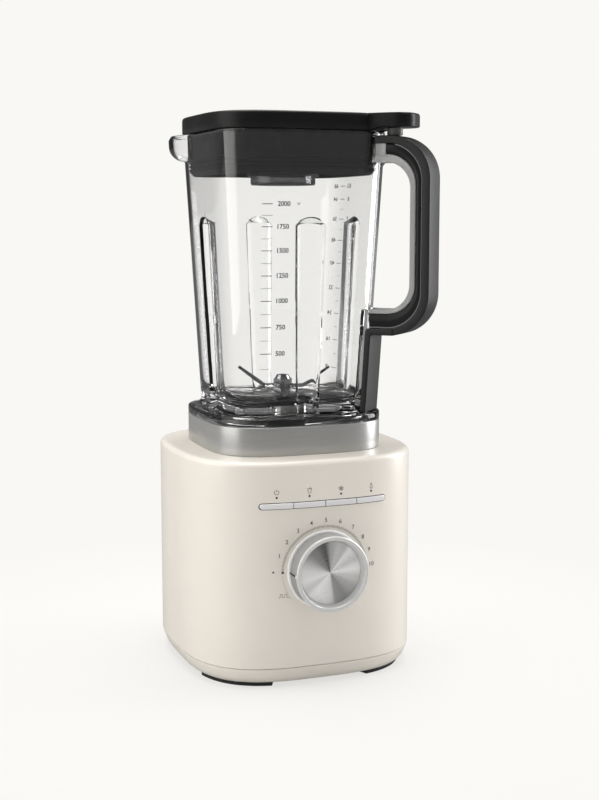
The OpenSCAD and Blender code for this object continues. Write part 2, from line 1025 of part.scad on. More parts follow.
module lid() {
    plug = jar_half(seal_high) - jar_wall - 0.8;
    collar_in = cap_r + cap_gap;
    color("#202020")
        difference() {
            union() {
                loft([
                    ring(lid_low, lid_half - 0.8, lid_half - 0.8, lid_n),
                    ring(lid_low + 0.8, lid_half, lid_half, lid_n),
                    ring(lid_top - 2, lid_half, lid_half, lid_n),
                    ring(lid_top - 0.6, lid_half - 0.8, lid_half - 0.8, lid_n),
                    ring(lid_top, lid_half - 2.4, lid_half - 2.4, lid_n)
                ]);
                rotate(handle_dir)
                    translate([0, 0, lid_low + 2.3])
                        linear_extrude(lid_top - 0.8 - lid_low - 2.3) {
                            translate([40, -tab_half])
                                square([tab_reach - 12 - 40, 2 * tab_half]);
                            translate([tab_reach - 20, -tab_half + 12])
                                square([20, 2 * tab_half - 24]);
                            for (s = [-1, 1])
                                translate([tab_reach - 12, s * (tab_half - 12)])
                                    circle(12);
                        }
                rotate(handle_dir)
                    translate([post_r, 0, handle_high + 0.3])
                        cylinder(h = lid_low + 4 - handle_high, r = 6);
                difference() {
                    prism(plug, plug, jar_n, seal_high, lid_low + 1);
                    prism(plug - 2.6, plug - 2.6, jar_n, seal_high - 1, lid_low);
                }
                difference() {
                    prism(plug - 2.7, plug - 2.7, jar_n, plug_low + 4, lid_low + 1);
                    prism(plug - 5.5, plug - 5.5, jar_n, plug_low, lid_low);
                }
                tube(plug_low, lid_low + 1, collar_in + 2.4, collar_in);
            }
            translate([0, 0, plug_low - 5])
                cylinder(h = 100, r = collar_in);
            translate([0, 0, lid_top - 4])
                cylinder(h = 10, r = cap_r + 6.4);
        }
}

module lid_gasket() {
    half = jar_half(plug_low) - jar_wall - 0.5;
    plug = jar_half(seal_high) - jar_wall - 0.8;
    inner = plug - 2.65;
    color("#303030")
        difference() {
            union() {
                prism(half - 1, half - 1, jar_n, plug_low + 4.2, seal_high - 0.1);
                for (z = [394.2, 397.4, 400.4])
                    prism(half, half, jar_n, z, z + 1.5);
            }
            prism(inner, inner, jar_n, plug_low - 1, seal_high + 1);
        }
}

module centre_cap() {
    color("gainsboro", 0.6)
        difference() {
            union() {
                translate([0, 0, cap_low])
                    cylinder(h = lid_top - cap_low, r = cap_r);
                translate([0, 0, lid_top - 3.9])
                    cylinder(h = 3.9, r = cap_r + 6);
            }
            translate([0, 0, cap_low + 2.2])
                cylinder(h = 100, r = cap_r - 2.2);
            tube(lid_top - 12, lid_top - 9, cap_r + 1, cap_r - 1);
        }
}

module cap_seal() {
    color("black")
        tube(lid_top - 11.9, lid_top - 9.1, cap_r + 0.15, cap_r - 0.95);
}

housing();
base_pan();
foot_front_left();
foot_front_right();
foot_rear_left();
foot_rear_right();
collar();
seat_pad();
dial_bezel();
key_frame();
key_board();
key_switches();
indicator_lamps();
dial_encoder();
control_board();
motor_stator();
field_coils();
upper_bracket();
lower_bracket();
upper_bearing();
lower_bearing();
brush_holders();
carbon_brushes();
brush_springs();
motor_mounts();
fan_shroud();
cord_inlet();
motor_screws();
housing_screws();
motor_shaft();
rotor_core();
rotor_windings();
commutator();
cooling_fan();
drive_coupler();
dial();
dial_insert();
dial_shaft();
key_power();
key_smoothie();
key_ice();
key_clean();
jar();
handle_grip();
handle_screws();
blade_housing();
blade_bearings();
shaft_seal();
blade_shaft();
lower_blade();
upper_blade();
blade_nut();
driven_coupler();
lid();
lid_gasket();
centre_cap();
cap_seal();
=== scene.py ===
"""Looks of a countertop blender, built as pieces over its packed frame."""

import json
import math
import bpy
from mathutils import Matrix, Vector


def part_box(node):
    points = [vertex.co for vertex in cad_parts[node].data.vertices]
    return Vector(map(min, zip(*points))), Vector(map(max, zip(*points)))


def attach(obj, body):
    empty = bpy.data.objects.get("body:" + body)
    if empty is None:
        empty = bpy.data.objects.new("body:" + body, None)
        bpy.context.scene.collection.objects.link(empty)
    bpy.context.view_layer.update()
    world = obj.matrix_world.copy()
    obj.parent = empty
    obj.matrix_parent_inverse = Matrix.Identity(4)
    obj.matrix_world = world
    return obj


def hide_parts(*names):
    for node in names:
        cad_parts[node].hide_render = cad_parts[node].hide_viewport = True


bl_info = {
    "name": "Countertop Blender Builder", "version": (1, 0, 0), "blender": (4, 5, 0),
    "location": "3D Viewport > Sidebar > Countertop",
    "description": "Builds a countertop blender over its packed frame, piece by piece", "category": "Add Mesh",
}

import bmesh
import bpy
import numpy as np
from bpy.props import FloatProperty, FloatVectorProperty, IntProperty, PointerProperty
from bpy.types import Operator, Panel, PropertyGroup
from mathutils import Vector

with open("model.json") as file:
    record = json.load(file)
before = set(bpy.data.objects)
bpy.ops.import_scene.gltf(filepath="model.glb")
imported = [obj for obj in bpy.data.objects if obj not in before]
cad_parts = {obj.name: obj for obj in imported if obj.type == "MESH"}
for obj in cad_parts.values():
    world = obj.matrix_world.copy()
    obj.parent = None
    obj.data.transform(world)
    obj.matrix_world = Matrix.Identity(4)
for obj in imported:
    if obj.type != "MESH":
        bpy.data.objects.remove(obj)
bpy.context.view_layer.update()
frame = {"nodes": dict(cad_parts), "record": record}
MM = 0.001
TAU = 2 * math.pi
HOUSING_LOW, HOUSING_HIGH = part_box("housing")
COLLAR_LOW, COLLAR_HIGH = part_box("collar")
LID_LOW, LID_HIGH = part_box("lid")
HANDLE_DIR = math.radians(-45)
SPOUT_DIR = math.radians(135)
# Fixed measures in millimetres
POST_OUT = 96.0  # the lid's post, from the axis
FLANGE_RISE = 6.3  # top of the jar's flange over the collar
FLOOR_RISE = 13.3  # inner floor of the jar over the collar
TOP_ROUND = 4.2  # rounded upper edge of the base
INLET_HEIGHT = 30.0
ICON_RISE, LAMP_RISE = 10.6, 6.5  # over the key row


# ---------------------------------------------------------------------------
# Sizes and colours a user may change
# ---------------------------------------------------------------------------


def length(name, description, default, **more):
    return FloatProperty(
        name=name, description=description, default=default, unit="LENGTH", min=0.0, precision=4, **more
    )


def outline_power(of, default):
    """How square an outline is."""
    return FloatProperty(
        name="Squareness", description=f"Exponent of the {of} outline, 2 is an ellipse", default=default,
        min=2.0, max=8.0,
    )


def number(name, description, default, **more):
    return FloatProperty(name=name, description=description, default=default, min=0.0, **more)


def colour(name, description, default):
    return FloatVectorProperty(
        name=name, description=description, default=default, subtype="COLOR", size=3, min=0.0, max=1.0
    )


class BaseSizes(PropertyGroup):
    """Sizes of the motor base and its collar"""

    width: length("Width", "Side to side size of the base", HOUSING_HIGH.x - HOUSING_LOW.x)
    depth: length("Depth", "Front to back size of the base", HOUSING_HIGH.y - HOUSING_LOW.y)
    squareness: FloatProperty(
        name="Squareness", description="Exponent of the base outline, 2 is an ellipse", default=3.1, min=2.0,
        max=8.0,
    )
    top: length("Top", "Height of the base above the worktop", 0.176)
    seam: length("Seam", "Height of the seam above the bottom pan", 0.0157)
    foot: length("Foot", "Height of the feet", 0.0035)
    wall: length("Wall", "Thickness of the base shell", 0.003)
    collar_width: length("Collar width", "Width of the metal collar", COLLAR_HIGH.x - COLLAR_LOW.x)
    collar_top: length("Collar top", "Height of the collar's upper edge", COLLAR_HIGH.z)
    collar_squareness: outline_power("collar", 3.5)


class ControlSizes(PropertyGroup):
    """Sizes of the dial, its scale and the key row"""

    dial_height: length("Dial height", "Height of the dial's axis", 0.091)
    dial_radius: length("Dial radius", "Radius of the dial's front ring", 0.0293)
    dial_depth: length("Dial depth", "How far the dial stands out of the front", 0.0172)
    tick_radius: length("Tick radius", "Radius of the fine tick ring", 0.0342)
    numeral_radius: length("Numeral radius", "Radius of the ring of numbers", 0.0392)
    numeral_size: length("Numeral size", "Height of the dial numbers", 0.0034)
    key_height: length("Key row height", "Height of the key row above the worktop", 0.1425)
    key_row: length("Key row", "Length of the key row", 0.103)
    key_size: length("Key size", "Height of one key", 0.0042)
    key_travel: length("Key travel", "How far a key goes in", 0.0012)


class JarSizes(PropertyGroup):
    """Sizes of the jar"""

    low_half: length("Lower half width", "Half width just above the collar", 0.0575)
    high_half: length("Upper half width", "Half width at the rim", 0.0694)
    squareness: outline_power("jar", 5.6)
    rim: length("Rim", "Height of the rim above the worktop", 0.4232)
    wall: length("Wall", "Thickness of the wall", 0.003)
    flute_depth: length("Flute depth", "Depth of the four flutes", 0.0075)
    flute_top: length("Flute top", "Height where the flutes end", 0.358)
    spout: length("Spout", "How far the spout stands out of the corner", 0.016)
    number_size: length("Number size", "Height of the scale's numbers", 0.0037)


class HandleSizes(PropertyGroup):
    """Sizes of the handle"""

    inner: length("Inner reach", "Radius of the finger side of the grip", 0.113)
    thickness: length("Thickness", "Thickness of the handle", 0.016)
    width: length("Width", "Width of the handle", 0.0244)
    low: length("Bottom", "Height of the underside of the lower arm", 0.2667)
    high: length("Top", "Height of the upper side of the upper arm", 0.4198)
    outer_bend: length("Outer bend", "Radius of the bends on the back of the grip", 0.0326)
    gap_low: length("Gap bottom", "Height of the bottom of the finger gap", 0.2865)
    gap_high: length("Gap top", "Height of the top of the finger gap", 0.3995)
    bend: length("Bend", "Radius of the finger side's bends", 0.02)
    band: length("Band", "Thickness of the black band along the outside", 0.0053)


class LidSizes(PropertyGroup):
    """Sizes of the lid and its measuring cap"""

    half: length("Half width", "Half width of the lid plate", 0.0725)
    squareness: outline_power("lid", 3.9)
    top: length("Top", "Height of the lid's top", LID_HIGH.z)
    tab_reach: length("Tab reach", "Radius of the end of the tab", 0.114)
    tab_half: length("Tab half width", "Half width of the tab", 0.016)
    cap_radius: length("Cap radius", "Radius of the cap's cup", 0.0264)
    cap_low: length("Cap bottom", "Height of the bottom of the cap's cup", 0.383)


class FinishColours(PropertyGroup):
    """Colours of the finishes"""

    enamel: colour("Enamel", "Cream enamel of the base", (0.80, 0.755, 0.685))
    collar: colour("Collar", "Satin metal of the collar", (0.55, 0.55, 0.54))
    dial: colour("Dial", "Satin metal of the dial", (0.72, 0.72, 0.71))
    keys: colour("Keys", "Silver of the keys", (0.86, 0.85, 0.86))
    grip: colour("Grip", "Soft black of the grip", (0.010, 0.010, 0.010))
    lid: colour("Lid", "Black of the lid", (0.007, 0.007, 0.007))
    print_ink: colour("Base print", "Ink of the base's markings", (0.085, 0.08, 0.075))
    jar_ink: colour("Jar print", "Ink of the jar's scale", (0.012, 0.012, 0.013))


class StageSettings(PropertyGroup):
    """The pale studio around the blender"""

    backdrop: colour("Backdrop", "Colour of the floor and the space around", (0.946, 0.938, 0.913))
    fill: number("Fill", "Strength of the light from all round", 0.46, max=5.0)
    gloom: number("Gloom", "Brightness of the studio in reflections", 0.12, max=1.0)
    key: number("Key light", "Power of the left softbox in watts", 12.5)
    rim: number("Rim light", "Power of the right softbox in watts", 17.0)
    top: number("Top light", "Power of the overhead softbox in watts", 19.0)
    shadow: number("Floor shadow", "Share of the floor that takes shadow", 0.28, max=1.0)
    steps: IntProperty(name="Outline points", description="Points around the base outline", default=288, min=64)


# ---------------------------------------------------------------------------
# Outlines and meshes, in millimetres until a piece is made
# ---------------------------------------------------------------------------


def mm(value):
    """A size property as millimetres."""
    return value / MM


def turns(count):
    """Evenly spaced directions for one closed outline."""
    return np.arange(count) * TAU / count


def reach(half_x, half_y, n, p):
    """Distance from the axis to a superellipse in direction p."""
    return (np.abs(np.cos(p) / half_x) ** n + np.abs(np.sin(p) / half_y) ** n) ** (-1.0 / n)


def ease(a, b, x):
    """Smooth step from 0 at a to 1 at b."""
    t = np.clip((x - a) / (b - a), 0.0, 1.0)
    return t * t * (3 - 2 * t)


def away_from(heading, p):
    """Signed angle between directions p and a heading."""
    return (p - heading + math.pi) % TAU - math.pi


def ring_at(distance, p, z):
    """A closed ring from distances in directions p, at height z."""
    d = np.broadcast_to(np.asarray(distance, float), p.shape)
    return np.column_stack([d * np.cos(p), d * np.sin(p), np.broadcast_to(np.asarray(z, float), p.shape)])


def skin(rings, loop=False, caps=(True, True)):
    """Faces through a list of closed rings, capped at its ends or joined end to end."""
    count = len(rings[0])
    verts = np.concatenate(rings)
    faces = []
    spans = len(rings) if loop else len(rings) - 1
    for k in range(spans):
        low, high = k * count, ((k + 1) % len(rings)) * count
        for i in range(count):
            j = (i + 1) % count
            faces.append((low + i, low + j, high + j, high + i))
    if not loop:
        if caps[0]:
            faces.append(tuple(range(count - 1, -1, -1)))
        if caps[1]:
            base = (len(rings) - 1) * count
            faces.append(tuple(base + i for i in range(count)))
    return verts, faces


def fillet(points, radii, steps=5, closed=False):
    """Round the corners of a profile, each by its own radius."""
    points = [np.array(q, float) for q in points]
    radii = [radii] * len(points) if np.isscalar(radii) else list(radii)
    out = []
    for i, q in enumerate(points):
        ends = i in (0, len(points) - 1) and not closed
        before, after = points[i - 1], points[(i + 1) % len(points)]
        if ends or radii[i] <= 0:
            out.append(q)
            continue
        a, b = before - q, after - q
        la, lb = np.linalg.norm(a), np.linalg.norm(b)
        a, b = a / la, b / lb
        half = math.acos(float(np.clip(a @ b, -1, 1))) / 2
        if half > math.radians(86):
            out.append(q)
            continue
        cut = min(radii[i] / math.tan(half), la * 0.49, lb * 0.49)
        start, stop = q + a * cut, q + b * cut
        for t in np.linspace(0, 1, steps + 1):
            out.append((1 - t) ** 2 * start + 2 * t * (1 - t) * q + t ** 2 * stop)
    return np.array(out)


def revolve(profile, steps=128, loop=True):
    """Turn a profile of radius and height around Z."""
    p = turns(steps)
    return skin([ring_at(r, p, h) for r, h in profile], loop=loop)


def merge(*parts):
    """Several vertex and face lists as one."""
    verts, faces, base = [], [], 0
    for v, f in parts:
        verts.append(np.asarray(v))
        faces += [tuple(base + i for i in face) for face in f]
        base += len(v)
    return np.concatenate(verts), faces


def point_forward(part, y, z):
    """Turn a part revolved about Z so that its axis points to the front."""
    verts, faces = part
    out = np.column_stack([verts[:, 0], y - verts[:, 2], z + verts[:, 1]])
    return out, faces


def box_part(low, high, soft=0.4, steps=3):
    """A block with softened edges, for small solid pieces."""
    mesh = bmesh.new()
    bmesh.ops.create_cube(mesh, size=1.0)
    size = np.array(high, float) - np.array(low, float)
    middle = (np.array(high, float) + np.array(low, float)) / 2
    for v in mesh.verts:
        v.co = Vector(np.array(v.co) * size + middle)
    bmesh.ops.bevel(
        mesh, geom=mesh.edges[:] + mesh.verts[:], offset=min(soft, size.min() * 0.45), segments=steps,
        profile=0.5, affect="EDGES",
    )
    mesh.verts.index_update()
    verts = np.array([tuple(v.co) for v in mesh.verts])
    faces = [tuple(v.index for v in f.verts) for f in mesh.faces]
    mesh.free()
    return verts, faces


def new_object(name, part):
    """Link a part in millimetres as an object in metres."""
    mesh = bpy.data.meshes.new(name)
    mesh.from_pydata([tuple(v) for v in np.asarray(part[0]) * MM], [], part[1])
    made = bpy.data.objects.new(name, mesh)
    bpy.context.scene.collection.objects.link(made)
    return made


def clean_mesh(mesh, dissolve=True, outward=True):
    """Drop faces without area and turn the others outward."""
    work = bmesh.new()
    work.from_mesh(mesh)
    if dissolve:
        bmesh.ops.dissolve_degenerate(work, edges=work.edges[:], dist=1e-7)
    if outward:
        bmesh.ops.recalc_face_normals(work, faces=work.faces[:])
    work.to_mesh(mesh)
    work.free()


def make_piece(name, part, body, slot, stands_for=(), crease=32, closed=True, finish=None):
    """A piece that rides on a body, in the slot's own finish unless another is named."""
    piece = new_object(name, part)
    mesh = piece.data
    mesh.materials.append(FINISHES[finish or slot])
    clean_mesh(mesh, outward=closed)
    mesh.shade_smooth()
    mesh.set_sharp_from_angle(angle=math.radians(crease))
    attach(piece, body)
    if stands_for:
        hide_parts(*stands_for)
    return piece


def carve(piece, part, crease=32):
    """Cut a part's volume out of a piece for good."""
    cutter = new_object("cutter", part)
    clean_mesh(cutter.data, dissolve=False)
    cut = piece.modifiers.new("Cut", "BOOLEAN")
    cut.object = cutter
    cut.operation = "DIFFERENCE"
    cut.solver = "EXACT"
    bpy.context.view_layer.update()
    graph = bpy.context.evaluated_depsgraph_get()
    result = bpy.data.meshes.new_from_object(piece.evaluated_get(graph))
    piece.modifiers.clear()
    if len(result.vertices) < 8:
        raise RuntimeError(f"cutting {piece.name} left nothing")
    piece.data = result
    result.shade_smooth()
    result.set_sharp_from_angle(angle=math.radians(crease))
    bpy.data.objects.remove(cutter)


def lettering(text, size, bold=0.0):
    """Flat triangles for a short text, centred, in millimetres."""
    curve = bpy.data.curves.new("lettering", "FONT")
    curve.body = text
    curve.align_x = "CENTER"
    curve.align_y = "CENTER"
    curve.size = size * 1.38
    curve.offset = bold
    curve.resolution_u = 3
    holder = bpy.data.objects.new("lettering", curve)
    bpy.context.scene.collection.objects.link(holder)
    bpy.context.view_layer.update()
    mesh = bpy.data.meshes.new_from_object(holder.evaluated_get(bpy.context.evaluated_depsgraph_get()))
    verts = np.array([tuple(v.co) for v in mesh.vertices])
    faces = [tuple(f.vertices) for f in mesh.polygons]
    bpy.data.objects.remove(holder)
    bpy.data.meshes.remove(mesh)
    if not len(verts):
        raise RuntimeError(f"no outline for {text!r}")
    return verts[:, :2], faces


def stroke(points, width, closed=False):
    """A flat ribbon along a line of points."""
    pts = np.array(points, float)
    if closed:
        along = np.roll(pts, -1, 0) - np.roll(pts, 1, 0)
    else:
        along = np.gradient(pts, axis=0)
    along /= np.maximum(np.linalg.norm(along, axis=1), 1e-9)[:, None]
    side = np.column_stack([-along[:, 1], along[:, 0]]) * width / 2
    verts = np.concatenate([pts + side, pts - side])
    n = len(pts)
    spans = n if closed else n - 1
    return verts, [(i, (i + 1) % n, n + (i + 1) % n, n + i) for i in range(spans)]


def disc(x, y, r, steps=24):
    p = turns(steps)
    return np.column_stack([x + r * np.cos(p), y + r * np.sin(p)]), [tuple(range(steps))]


def arc(x, y, r, start, stop, steps=24):
    p = np.radians(np.linspace(start, stop, steps))
    return np.column_stack([x + r * np.cos(p), y + r * np.sin(p)])


def placed(part, x, y):
    """A flat part moved in its plane."""
    return part[0] + np.array([x, y]), part[1]


def rule(long, width, x, y):
    """A level printed line from x."""
    return placed(stroke([(0, 0), (long / 2, 0), (long, 0)], width), x, y)


# ---------------------------------------------------------------------------
# Effects shared by several finishes
# ---------------------------------------------------------------------------


def effect(name, inputs, outputs):
    """A shader node group with a Vector and its own named sockets."""
    tree = bpy.data.node_groups.new(name, "ShaderNodeTree")
    for label, kind, value in [("Vector", "NodeSocketVector", (0, 0, 0))] + inputs:
        socket = tree.interface.new_socket(name=label, in_out="INPUT", socket_type=kind)
        socket.default_value = value
    for label in outputs:
        tree.interface.new_socket(name=label, in_out="OUTPUT", socket_type="NodeSocketFloat")
    return tree, tree.nodes.new("NodeGroupInput"), tree.nodes.new("NodeGroupOutput")


def feed(tree, node, given):
    """Set each named or numbered socket to a value, or link it to another node's output."""
    for socket, wanted in given.items():
        if isinstance(wanted, bpy.types.NodeSocket):
            tree.links.new(wanted, node.inputs[socket])
        else:
            node.inputs[socket].default_value = wanted


def add_node(tree, kind, given, **settings):
    """A shader node with its settings and inputs."""
    node = tree.nodes.new(kind)
    for name, value in settings.items():
        setattr(node, name, value)
    feed(tree, node, given)
    return node


def calc(tree, operation, a, b=0.5, clamp=False):
    return add_node(tree, "ShaderNodeMath", {0: a, 1: b}, operation=operation, use_clamp=clamp).outputs[0]


def product(tree, a, b):
    return calc(tree, "MULTIPLY", a, b)


def noise(tree, vector, scale, detail=3.0, rough=0.55):
    given = {"Vector": vector, "Scale": scale, "Detail": detail, "Roughness": rough}
    return add_node(tree, "ShaderNodeTexNoise", given).outputs["Fac"]


def blend_range(tree, value, low, high, to_low, to_high):
    given = {"Value": value, "From Min": low, "From Max": high, "To Min": to_low, "To Max": to_high}
    return add_node(tree, "ShaderNodeMapRange", given).outputs["Result"]


def moulded_grain():
    """Fine moulded grain: a height for bump and a slow mottle."""
    tree, given, result = effect("Moulded Grain", [("Scale", "NodeSocketFloat", 900.0)], ["Height", "Mottle"])
    fine = noise(tree, given.outputs["Vector"], given.outputs["Scale"], 2.0)
    slow = noise(tree, given.outputs["Vector"], 28.0, 4.0)
    feed(tree, result, {"Height": fine, "Mottle": slow})
    return tree


def edge_wear():
    """A mask on the rounded edges, broken up by noise."""
    tree, given, result = effect("Edge Wear", [("Amount", "NodeSocketFloat", 0.5)], ["Mask"])
    sharp = tree.nodes.new("ShaderNodeNewGeometry").outputs["Pointiness"]
    edge = blend_range(tree, sharp, 0.51, 0.60, 0.0, 1.0)
    broken = blend_range(tree, noise(tree, given.outputs["Vector"], 160.0, 5.0), 0.35, 0.65, 0.25, 1.0)
    feed(tree, result, {"Mask": product(tree, product(tree, edge, broken), given.outputs["Amount"])})
    return tree


def handling():
    """Faint smudges and dust where hands and cloths go over a surface."""
    tree, given, result = effect("Handling", [("Smudge", "NodeSocketFloat", 0.06)], ["Roughness Shift", "Dust"])
    broad = noise(tree, given.outputs["Vector"], 22.0, 5.0, 0.62)
    shift = product(tree, blend_range(tree, broad, 0.35, 0.7, -1.0, 1.0), given.outputs["Smudge"])
    dust = blend_range(tree, noise(tree, given.outputs["Vector"], 420.0, 3.0), 0.60, 0.78, 0.0, 1.0)
    feed(tree, result, {"Roughness Shift": shift, "Dust": dust})
    return tree


def brushing():
    """Fine scratches that run along one direction."""
    tree, given, result = effect("Brushing", [("Along", "NodeSocketVector", (1, 1, 1))], ["Height", "Streak"])
    pair = {0: given.outputs["Vector"], 1: given.outputs["Along"]}
    stretched = add_node(tree, "ShaderNodeVectorMath", pair, operation="MULTIPLY").outputs[0]
    fine = noise(tree, stretched, 600.0, 6.0, 0.7)
    wide = noise(tree, stretched, 120.0, 3.0)
    feed(tree, result, {"Height": fine, "Streak": wide})
    return tree


def build_effects():
    return {"grain": moulded_grain(), "wear": edge_wear(), "handling": handling(), "brushing": brushing()}


EFFECTS = {}
FINISHES = {}


def place(tree, key, vector, **values):
    """One of the shared effects in a material."""
    return add_node(tree, "ShaderNodeGroup", {"Vector": vector, **values}, node_tree=EFFECTS[key])


def mix_colour(tree, factor, a, b):
    a, b = ((*c, 1.0) if isinstance(c, tuple) else c for c in (a, b))
    return add_node(tree, "ShaderNodeMix", {0: factor, 6: a, 7: b}, data_type="RGBA").outputs[2]


def shade(rgb, factor):
    return tuple(min(1.0, c * factor) for c in rgb)


def new_material(name):
    material = bpy.data.materials.new(name)
    material.use_nodes = True
    tree = material.node_tree
    where = tree.nodes.new("ShaderNodeTexCoord").outputs["Object"]
    return material, tree, tree.nodes["Principled BSDF"], where


def surface(tree, shader, handled, rough, height, strength, bump):
    """Handled roughness and a relief of a height in millimetres."""
    given = {"Height": height, "Strength": strength, "Distance": bump * MM}
    relief = add_node(tree, "ShaderNodeBump", given).outputs["Normal"]
    roughness = calc(tree, "ADD", handled.outputs["Roughness Shift"], rough, clamp=True)
    feed(tree, shader, {"Roughness": roughness, "Normal": relief})


def solid_finish(
    name, rgb, rough, metal=0.0, grain=900.0, bump=0.02, mottle=0.06, smudge=0.05, wear=0.0, worn=None,
    coat=0.0, coat_rough=0.08, specular=0.5, brush=None, brush_bump=0.0, dust=0.0,
):
    """An opaque finish: colour with mottle, worn edges, grain or brushing, and handled roughness."""
    material, tree, shader, where = new_material(name)
    grained = place(tree, "grain", where, Scale=grain)
    tone = blend_range(tree, grained.outputs["Mottle"], 0.3, 0.7, 0.0, 1.0)
    base = mix_colour(tree, tone, shade(rgb, 1 - mottle), shade(rgb, 1 + mottle))
    handled = place(tree, "handling", where, Smudge=smudge)
    if dust:
        base = mix_colour(tree, product(tree, handled.outputs["Dust"], dust), base, (0.6, 0.58, 0.54))
    if wear:
        edge = place(tree, "wear", where, Amount=wear)
        base = mix_colour(tree, edge.outputs["Mask"], base, worn or shade(rgb, 1.6))
    height = grained.outputs["Height"]
    if brush:
        brushed = place(tree, "brushing", where, Along=brush)
        streak = blend_range(tree, brushed.outputs["Streak"], 0.3, 0.7, 0.0, 1.0)
        base = mix_colour(tree, streak, base, shade(rgb, 1.10))
        height = brushed.outputs["Height"]
    feed(tree, shader, {"Base Color": base})
    surface(tree, shader, handled, rough, height, 0.6, brush_bump if brush else bump)
    given = {
        "Metallic": metal, "Specular IOR Level": specular, "Coat Weight": coat, "Coat Roughness": coat_rough
    }
    feed(tree, shader, given)
    return material


def clear_finish(name, rgb, rough, smudge, ior, bump=0.003, clarity=1.0):
    """A clear moulded plastic with faint handling and flow marks, milky where its clarity is low."""
    material, tree, shader, where = new_material(name)
    handled = place(tree, "handling", where, Smudge=smudge)
    slow = place(tree, "grain", where, Scale=40.0).outputs["Mottle"]
    surface(tree, shader, handled, rough, slow, 0.3, bump)
    tint = mix_colour(tree, slow, shade(rgb, 0.99), rgb)
    feed(tree, shader, {"Base Color": tint, "Transmission Weight": clarity, "IOR": ior, "Metallic": 0.0})
    return material


def spun_finish(name, rgb, rough):
    """Metal turned on a lathe: hair-fine rings, and the gloss that fans out from the centre painted in as light
    and dark sectors of painted sheen by angle.
    """
    material, tree, shader, where = new_material(name)
    centre = (0.0, 0.0, bpy.context.scene.blender_controls.dial_height)
    shifted = add_node(tree, "ShaderNodeVectorMath", {0: where, 1: centre}, operation="SUBTRACT").outputs[0]
    parts = add_node(tree, "ShaderNodeSeparateXYZ", {0: shifted}).outputs
    angle = calc(tree, "ARCTAN2", parts["Z"], parts["X"])
    radius = add_node(tree, "ShaderNodeVectorMath", {0: shifted}, operation="LENGTH").outputs["Value"]
    turned = add_node(tree, "ShaderNodeCombineXYZ", {"X": product(tree, radius, 2600.0)}).outputs[0]
    rings = noise(tree, turned, 3.0, 4.0, 0.7)
    painted_sheen_fan = tree.nodes.new("ShaderNodeValToRGB")
    # Brightness of each sector of painted sheen by angle round the dial's axis: painted highlights and painted
    # shade in the base colour
    painted_sheen_stops = (
        (0.00, 0.92), (0.035, 0.98), (0.09, 0.84), (0.13, 1.00), (0.20, 0.94), (0.25, 0.86), (0.285, 0.50),
        (0.335, 0.46), (0.40, 0.62), (0.46, 0.80), (0.515, 0.99), (0.575, 0.80), (0.63, 0.94), (0.665, 0.70),
        (0.70, 0.74), (0.745, 0.60), (0.79, 0.16), (0.855, 0.40), (1.00, 0.92),
    )
    ramp = painted_sheen_fan.color_ramp
    ramp.interpolation = "EASE"
    for place_at, value in painted_sheen_stops[1:-1]:
        ramp.elements.new(place_at).color = (*shade(rgb, value ** 1.7), 1.0)
    for end, value in ((0, painted_sheen_stops[0][1]), (-1, painted_sheen_stops[-1][1])):
        ramp.elements[end].color = (*shade(rgb, value ** 1.7), 1.0)
    feed(tree, painted_sheen_fan, {"Fac": blend_range(tree, angle, -math.pi, math.pi, 0.0, 1.0)})
    painted_sheen_and_streaks = mix_colour(
        tree, blend_range(tree, rings, 0.35, 0.65, 0.0, 0.16), painted_sheen_fan.outputs["Color"], shade(rgb, 1.2)
    )
    surface(tree, shader, place(tree, "handling", where, Smudge=0.03), rough, rings, 0.25, 0.004)
    feed(tree, shader, {"Base Color": painted_sheen_and_streaks, "Metallic": 0.12})
    return material


